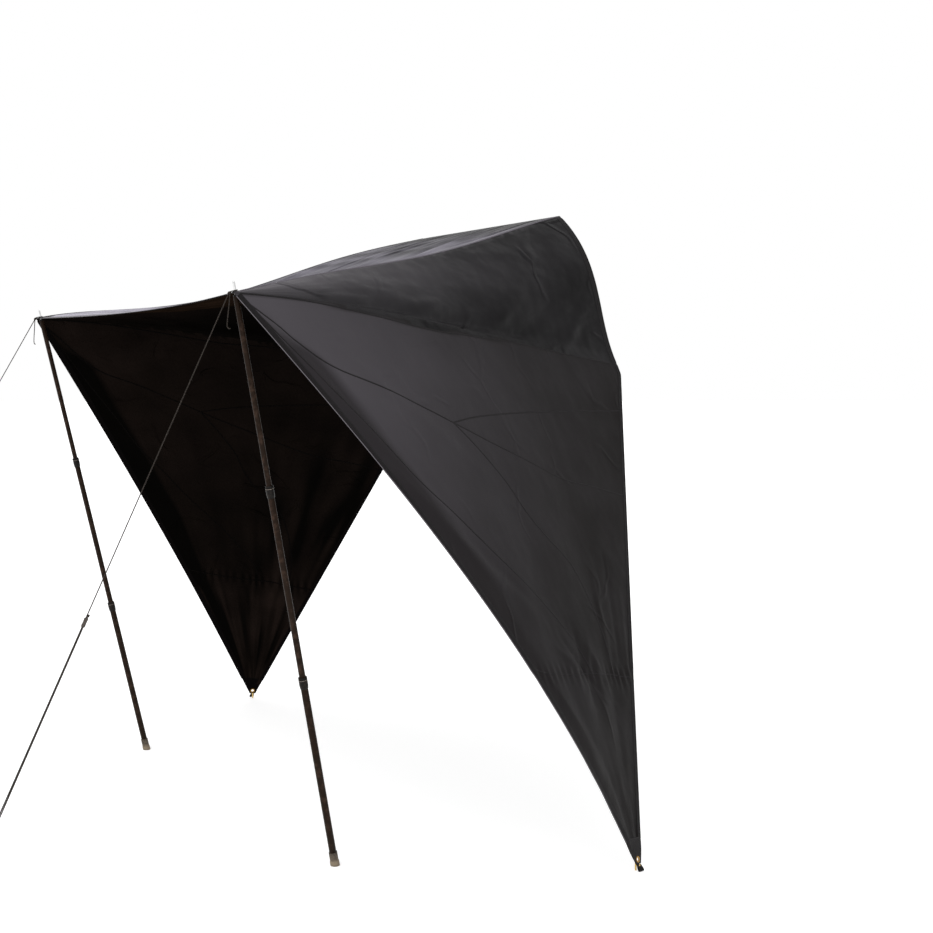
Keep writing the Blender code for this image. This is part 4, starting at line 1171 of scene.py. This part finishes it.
def turned(profile, around=48):
    # a profile of radius and height in mm, drawn point by point and spun round the piece's axis
    deselect()
    bpy.ops.mesh.primitive_plane_add(size=0.01)
    obj = bpy.context.object
    editMode("VERT")
    bpy.ops.mesh.merge(type="CENTER")
    last = Vector()
    for k, (radius, height) in enumerate(profile):
        place = Vector((radius, 0, height)) / 1000
        if k:
            bpy.ops.mesh.extrude_vertices_move(TRANSFORM_OT_translate={"value": place - last})
        else:
            bpy.ops.transform.translate(value=place)
        last = place
    bpy.ops.mesh.select_all(action="SELECT")
    bpy.ops.mesh.spin(steps=around, angle=2 * pi, center=(0, 0, 0), axis=(0, 0, 1))
    closeUp()
    return obj


def stand(obj, place, smooth=35):
    # keeps the points' own places for the patterns, then moves the mesh to its place
    own = obj.data.attributes.new("own", "FLOAT_VECTOR", "POINT")
    own.data.foreach_set("vector", [c for vert in obj.data.vertices for c in vert.co])
    obj.matrix_world = place
    only(obj)
    bpy.ops.object.transform_apply(location=True, rotation=True, scale=True)
    smoothed(obj, smooth)


def tubeShape(radius, bottom, top):
    # a cut tube whose ends are rolled over slightly
    inner = radius - poles["wall"]
    return [(radius - 0.5, top), (radius - 0.12, top - 0.15), (radius, top - 0.6),
            (radius, bottom + 0.6), (radius - 0.12, bottom + 0.15),
            (radius - 0.5, bottom), (inner, bottom), (inner, top), (radius - 0.5, top)]


def collarShape(radius, top):
    # a sleeve with a fine step under its rim and a tapered foot
    within, outer, bottom = radius + 0.3, radius + 2.7, top - 30
    return [(outer - 0.4, top), (outer, top - 0.5), (outer, top - 3.0), (outer - 0.35, top - 3.4),
            (outer - 0.35, top - 4.2), (outer, top - 4.6), (outer, bottom + 13),
            (outer - 0.15, bottom + 11.5), (within + 1.0, bottom + 0.5), (within + 0.6, bottom),
            (within, bottom), (within, top), (outer - 0.4, top)]


def makeRing(bore, outer, bottom):
    # the twist ring, with raised ribs to grip
    high, rib, around = 11.0, 0.7, 60
    base = outer - rib
    ring = turned([(base - 0.5, bottom + high), (base, bottom + high - 0.5), (base, bottom + high - 1.6),
                   (base, bottom + 1.4), (base, bottom + 0.4), (base - 0.4, bottom), (bore, bottom),
                   (bore, bottom + high), (base - 0.5, bottom + high)], around)
    middle = (bottom + high / 2) / 1000
    only(ring)
    editMode("FACE", "DESELECT")
    bpy.ops.object.mode_set(mode="OBJECT")
    for face in ring.data.polygons:
        x, y, z = face.center
        sector = int((atan2(y, x) / (2 * pi) + 0.5) * around)
        face.select = (sector % 3 != 2 and abs(face.normal.z) < 0.1 and abs(z - middle) < 0.001
                       and hypot(x, y) * 1000 > base - 0.3)
    bpy.ops.object.mode_set(mode="EDIT")
    bpy.ops.mesh.extrude_region_shrink_fatten(TRANSFORM_OT_shrink_fatten={"value": rib / 1000})
    closeUp()
    return ring


def footShape(length):
    # a ribbed cup, flared where it stands and drawn on past the ground
    floor = -length + 9.7
    top = floor + 42
    base = -length - 12
    shape = [(14.4, top), (15.0, top - 0.6), (15.0, top - 3)]
    for k in range(5):
        z = top - 4 - k * 5.0
        shape += [(15.0, z), (14.5, z - 0.5), (14.5, z - 1.3), (15.0, z - 1.8)]
    return shape + [(15.0, floor + 12), (15.3, floor + 9.6), (16.2, floor + 6.6), (16.5, floor + 5.2),
                    (16.5, base), (0, base), (0, floor), (12.8, floor), (12.8, top), (14.4, top)]


def makePole(side):
    pole, radii, overlap = stands[side], poles["tubes"], poles["overlap"]
    moulded = ("black_plastic", blackMat)
    lowerTop = poles["stations"]["lower"] - pole.length
    upperTop = poles["stations"]["upper"] - pole.length

    def fit(obj, base, body, slot, mat, node=None, smooth=35):
        stand(obj, pole.place, smooth)
        return settle(obj, side, "pole_" + base, slot, [mat], node, body)

    fit(turned(poles["spike"], 32), "spike", "upper_pole", "bright_steel", steelMat, "spike")
    fit(turned(poles["plug"]), "top_plug", "upper_pole", *moulded, "top_plug")
    for name, bottom, top in (("upper", upperTop - overlap, -18.1),
                              ("middle", lowerTop - overlap, upperTop),
                              ("lower", -pole.length + 10, lowerTop)):
        tube = turned(tubeShape(radii[name], bottom, top))
        fit(tube, name + "_tube", name + "_pole", "coated_tube", tubeMat, name + "_tube")
    for name, outside, within, top in (("upper", "middle", "upper", upperTop),
                                       ("lower", "lower", "middle", lowerTop)):
        radius, ringBody = radii[outside], name + "_ring"
        collar = turned(collarShape(radius, top))
        fit(collar, name + "_collar", outside + "_pole", *moulded, name + "_collar")
        ring = makeRing(radii[within] + 0.5, radius + 2.7, top + poles["gap"])
        fit(ring, name + "_ring", ringBody, *moulded, name + "_lock_ring", 30)
        lip = turned([(radius + out, top + up) for out, up in poles["lip"]])
        fit(lip, name + "_ring_lip", ringBody, "black_plastic", paleMat)
    foot = fit(turned(footShape(pole.length)), "foot", "lower_pole", "foot_rubber", rubberMat, "foot")
    only(foot)  # and cut level with the ground
    editMode("VERT")
    bpy.ops.mesh.bisect(plane_co=(0, 0, 0), plane_no=(0, 0, 1), use_fill=True, clear_inner=True)
    bpy.ops.object.mode_set(mode="OBJECT")


for side in sides:
    makePole(side)
print("poles made")


def bore(obj, place, radius, around, depth):
    deselect()
    bpy.ops.mesh.primitive_cylinder_add(vertices=around, radius=radius, depth=depth)
    drill = bpy.context.object
    drill.matrix_world = place
    modify(obj, "BOOLEAN", object=drill, operation="DIFFERENCE", solver="EXACT")
    bpy.data.objects.remove(drill)


slider = {
    "corner": 0.004, "halfWay": 0.0035, "halfLength": 0.014,
    "bore": 0.00215, "boreOut": 0.0028,
    "seat": (562, 2.8, 992.1),  # mm along the rope's way
    # mm along it, then the share by which it gets wider and deeper
    "rises": ((0.8, 1.05, 1.1), (0.4, 1.013, 1.057), (6.8, 1, 1), (2.5, 0.95, 0.93), (7.0, 1, 1),
              (2.5, 1 / 0.95, 1 / 0.93), (6.8, 1, 1), (0.4, 1 / 1.013, 1 / 1.057),
              (0.8, 1 / 1.05, 1 / 1.1)),
}


def makeTensioner(side):
    # a waisted slider with two bores, moulded in one piece
    deselect()
    bpy.ops.mesh.primitive_circle_add(vertices=36, radius=slider["corner"], fill_type="NGON")
    obj = bpy.context.object
    for vert in obj.data.vertices:
        if abs(vert.co.x) > 1e-6:
            vert.co.x += slider["halfWay"] if vert.co.x > 0 else -slider["halfWay"]
        vert.co.z = -slider["halfLength"]
    editMode("VERT")
    bpy.ops.transform.resize(value=(0.94, 0.86, 1))
    for rise, wide, deep in slider["rises"]:
        extrude(0, 0, rise / 1000)
        bpy.ops.transform.resize(value=(wide, deep, 1))
    closeUp()
    for sign in (1, -1):
        bore(obj, Matrix.Translation((sign * slider["boreOut"], 0, 0)), slider["bore"], 28, 0.04)
    slope = radians(guy["slope"])
    down = stands[side].heading * cos(slope) - Vector((0, 0, sin(slope)))
    run, out, height = slider["seat"]
    near, far = guyPlace(side, run, -out, height), guyPlace(side, run, out, height)
    across = (far - near).normalized()
    stand(obj, placeWith((near + far) / 2, across, down.cross(across), down), 40)
    settle(obj, side, "rope_slider", "grey_plastic", [greyMat], "tensioner", "tensioner")


pegs = {
    "radius": 0.0035, "chamfer": 0.0008,
    "guyShaft": 0.034, "guyBend": 0.011, "guyTurn": 180, "guyDrop": 0.008,
    "wingBend": 0.010, "wingTurn": 125, "wingSeat": 0.0022,
}


def bentRod(base, away, shaftTop, bend, turnBy, endDrop):
    # a round rod drawn up out of the ground, then spun over into its hook
    angle, chamfer = radians(turnBy), pegs["chamfer"]
    deselect()
    bpy.ops.mesh.primitive_circle_add(vertices=24, radius=pegs["radius"], fill_type="NGON")
    obj = bpy.context.object
    editMode("FACE")
    extrude(0, 0, shaftTop)
    bpy.ops.mesh.spin(steps=round(turnBy / 9), angle=angle, center=(bend, 0, shaftTop), axis=(0, 1, 0))
    if endDrop:
        extrude(0, 0, -endDrop + chamfer)
    end = Vector((bend - bend * cos(angle), 0, shaftTop + bend * sin(angle)))
    push = Vector((sin(angle), 0, cos(angle))) * chamfer
    extrude(*push)
    middle = end + push + Vector((0, 0, chamfer - endDrop if endDrop else 0))
    bpy.ops.transform.resize(value=(0.72, 0.72, 0.72), center_override=middle)
    closeUp()
    up = Vector((0, 0, 1))
    stand(obj, placeWith(base, away, up.cross(away), up))
    return obj


tipHole = (0.5, 0.992)  # u and v of the tip's grommet on the wing


def makePegs(side):
    base = guyPlace(side, guy["pegRun"], 0, 0)
    peg = bentRod(base, stands[side].heading, pegs["guyShaft"], pegs["guyBend"], pegs["guyTurn"],
                  pegs["guyDrop"])
    settle(peg, side, "guy_stake", "yellow_steel", [pegMat], "guy_peg")
    centre, normal = wingBase(side, *tipHole), normalAt("wing", side, *tipHole)
    level = Vector((normal.x, normal.y, 0))
    away = level.normalized()
    down = (away * normal.z - Vector((0, 0, level.length))).normalized()
    seat = centre + down * pegs["wingSeat"]
    bend = pegs["wingBend"]
    base = seat - away * (bend * (1 - normal.z))
    base.z = 0
    peg = bentRod(base, away, seat.z - bend * level.length, bend, pegs["wingTurn"], 0)
    settle(peg, side, "wing_stake", "yellow_steel", [pegMat], "wing_peg")


def makeGrommet(side, name, node, centre, normal, flange, bore, barrel, mat):
    # two rolled washers clinched round the patch
    half = [(flange, 1.8), (flange, 2.15), (flange - 0.35, 2.5), (flange - 1.4, 2.74), (bore + 2.2, 2.8),
            (bore + 0.9, 2.66), (bore + 0.2, 2.25), (bore, 1.7)]
    shape = half + [(r, -h) for r, h in reversed(half)] + [(barrel, -1.8), (barrel, 1.8), (flange, 1.8)]
    ring = turned(shape, 56)
    stand(ring, placeOn(centre, normal), 40)
    return settle(ring, side, name, "brass", [mat], node)


def makePatch(side, name, node, surface, columns, rows, centre, normal, hole):
    # doubled webbing, box stitched, with a hole for the grommet
    places = [[surface(u, v) for u in columns] for v in rows]

    def cutPlace(i, j):
        # the stitches follow the nearest edge
        here = places[j][i]
        x, y = (here - places[j][0]).length, (here - places[0][i]).length
        return x + y, min(x, (here - places[j][-1]).length, y, (here - places[-1][i]).length)

    bm = newSheet()
    skin(bm, places, cutPlace)
    obj = fromSheet(bm)
    modify(obj, "SOLIDIFY", thickness=0.003, offset=0)
    bore(obj, placeOn(centre, normal), hole, 40, 0.02)
    modify(obj, "BEVEL", width=0.0006, segments=2, limit_method="ANGLE", angle_limit=radians(60))
    smoothed(obj, 40)
    settle(obj, side, name, "webbing", patchMat, node)
    outward = normal if normal.dot(Vector((side, 0, 2))) > 0 else -normal
    for face in obj.data.polygons:
        if face.normal.dot(outward) < -0.3:
            face.material_index = 1
    return obj


def makeStrapLoop(side):
    # a folded strap under the wing's tip, leaning out to the ground
    c = corners[side]
    lean = radians(38)
    down = Vector((side * sin(lean), 0, -cos(lean)))
    through = Vector((0, 1, 0))
    out = through.cross(down)
    start = (c.tipFront + c.tipRear) / 2 - Vector((0, 0, 0.00045))
    rings, run = [], [0.0]
    count = 48
    widths = (-10.0, -9.3, -3, 3, 9.3, 10.0)
    for i in range(count):
        turn = 2 * pi * i / count
        share = (1 - cos(turn)) / 2
        across = 5.0 * sin(turn) * share * 1.54
        outside = Vector((26 * share, across))
        inside = Vector((1.6 + 22.8 * share, across * (1 - 0.32 * (1.3 - share))))
        middle = (outside + inside) / 2
        ring = []
        for edge, line in ((outside, widths), (inside, widths[::-1])):
            for w in line:
                p = edge if abs(w) < 10 else edge.lerp(middle, 0.55)
                ring.append(start + (down * p.x + out * p.y + through * w) / 1000)
        rings.append(ring)
    for i in range(count):
        run.append(run[-1] + (rings[(i + 1) % count][2] - rings[i][2]).length)
    fromEdge = [0, 0.0007, 0.007, 0.007, 0.0007, 0] * 2
    bm = newSheet()
    skin(bm, rings, lambda k, i: (run[i], fromEdge[k % 12]), closed=True, looped=True)
    obj = fromSheet(bm)
    smoothed(obj, 45)
    return settle(obj, side, "tip_strap", "webbing", hemMat[:1], "wing_tip_loop")


patchReach = 0.060
patchMat = (stitched("doubledWebbingPatch", "patch", "patchThread", "patchRow"),
            stitched("doubledWebbingInside", "webbingInside", "threadInside", "patchRow", 1.08))


def makeFittings(side):
    makeTensioner(side)
    makePegs(side)
    hole, normal = stands[side].hole, stands[side].normal
    across = patchReach / (2 * corners[1].front.x)
    columns = steps(0.0004, across, 12) if side < 0 else steps(1 - across, 0.9996, 12)
    back = patchReach / (corners[side].top - corners[side].front).length
    tip, tipNormal = wingBase(side, *tipHole), normalAt("wing", side, *tipHole)

    def pressed(u, v):
        # the wing's surface, pressed flat round the eyelet
        point = wingBase(side, u, v)
        return point - tipNormal * ((point - tip).dot(tipNormal) * clamp((v - 0.955) / 0.025))

    return [
        makeGrommet(side, "corner_eyelet", "corner_grommet", hole, normal, 12.0, 7.0, 8.5, eyeletMat),
        makePatch(side, "corner_patch", "pole_corner_patch", lambda u, v: roofBase(1, u, v),
                  columns, steps(0.0004, back, 12), hole, normal, 0.0088),
        makeGrommet(side, "tip_eyelet", "wing_tip_grommet", tip, tipNormal, 11.0, 6.5, 7.8, brassMat),
        makePatch(side, "tip_patch", "wing_tip_patch", pressed, steps(0, 1, 12), steps(0.9553, 1, 18),
                  tip, tipNormal, 0.0081),
        makeStrapLoop(side),
    ]


fittings = makeFittings(1) + makeFittings(-1)
print("fittings made")


# The four expanders inside the tubes are the frame's own solids with a finish of their own
expanderMat = mouldedNylon("mouldedExpanderNylon", "blackNylon", inFrame=True)
for side in sides:
    for base in ("upper_expander", "middle_expander"):
        for slot in bpy.data.objects[sideName(base, side)].material_slots:
            slot.material = expanderMat
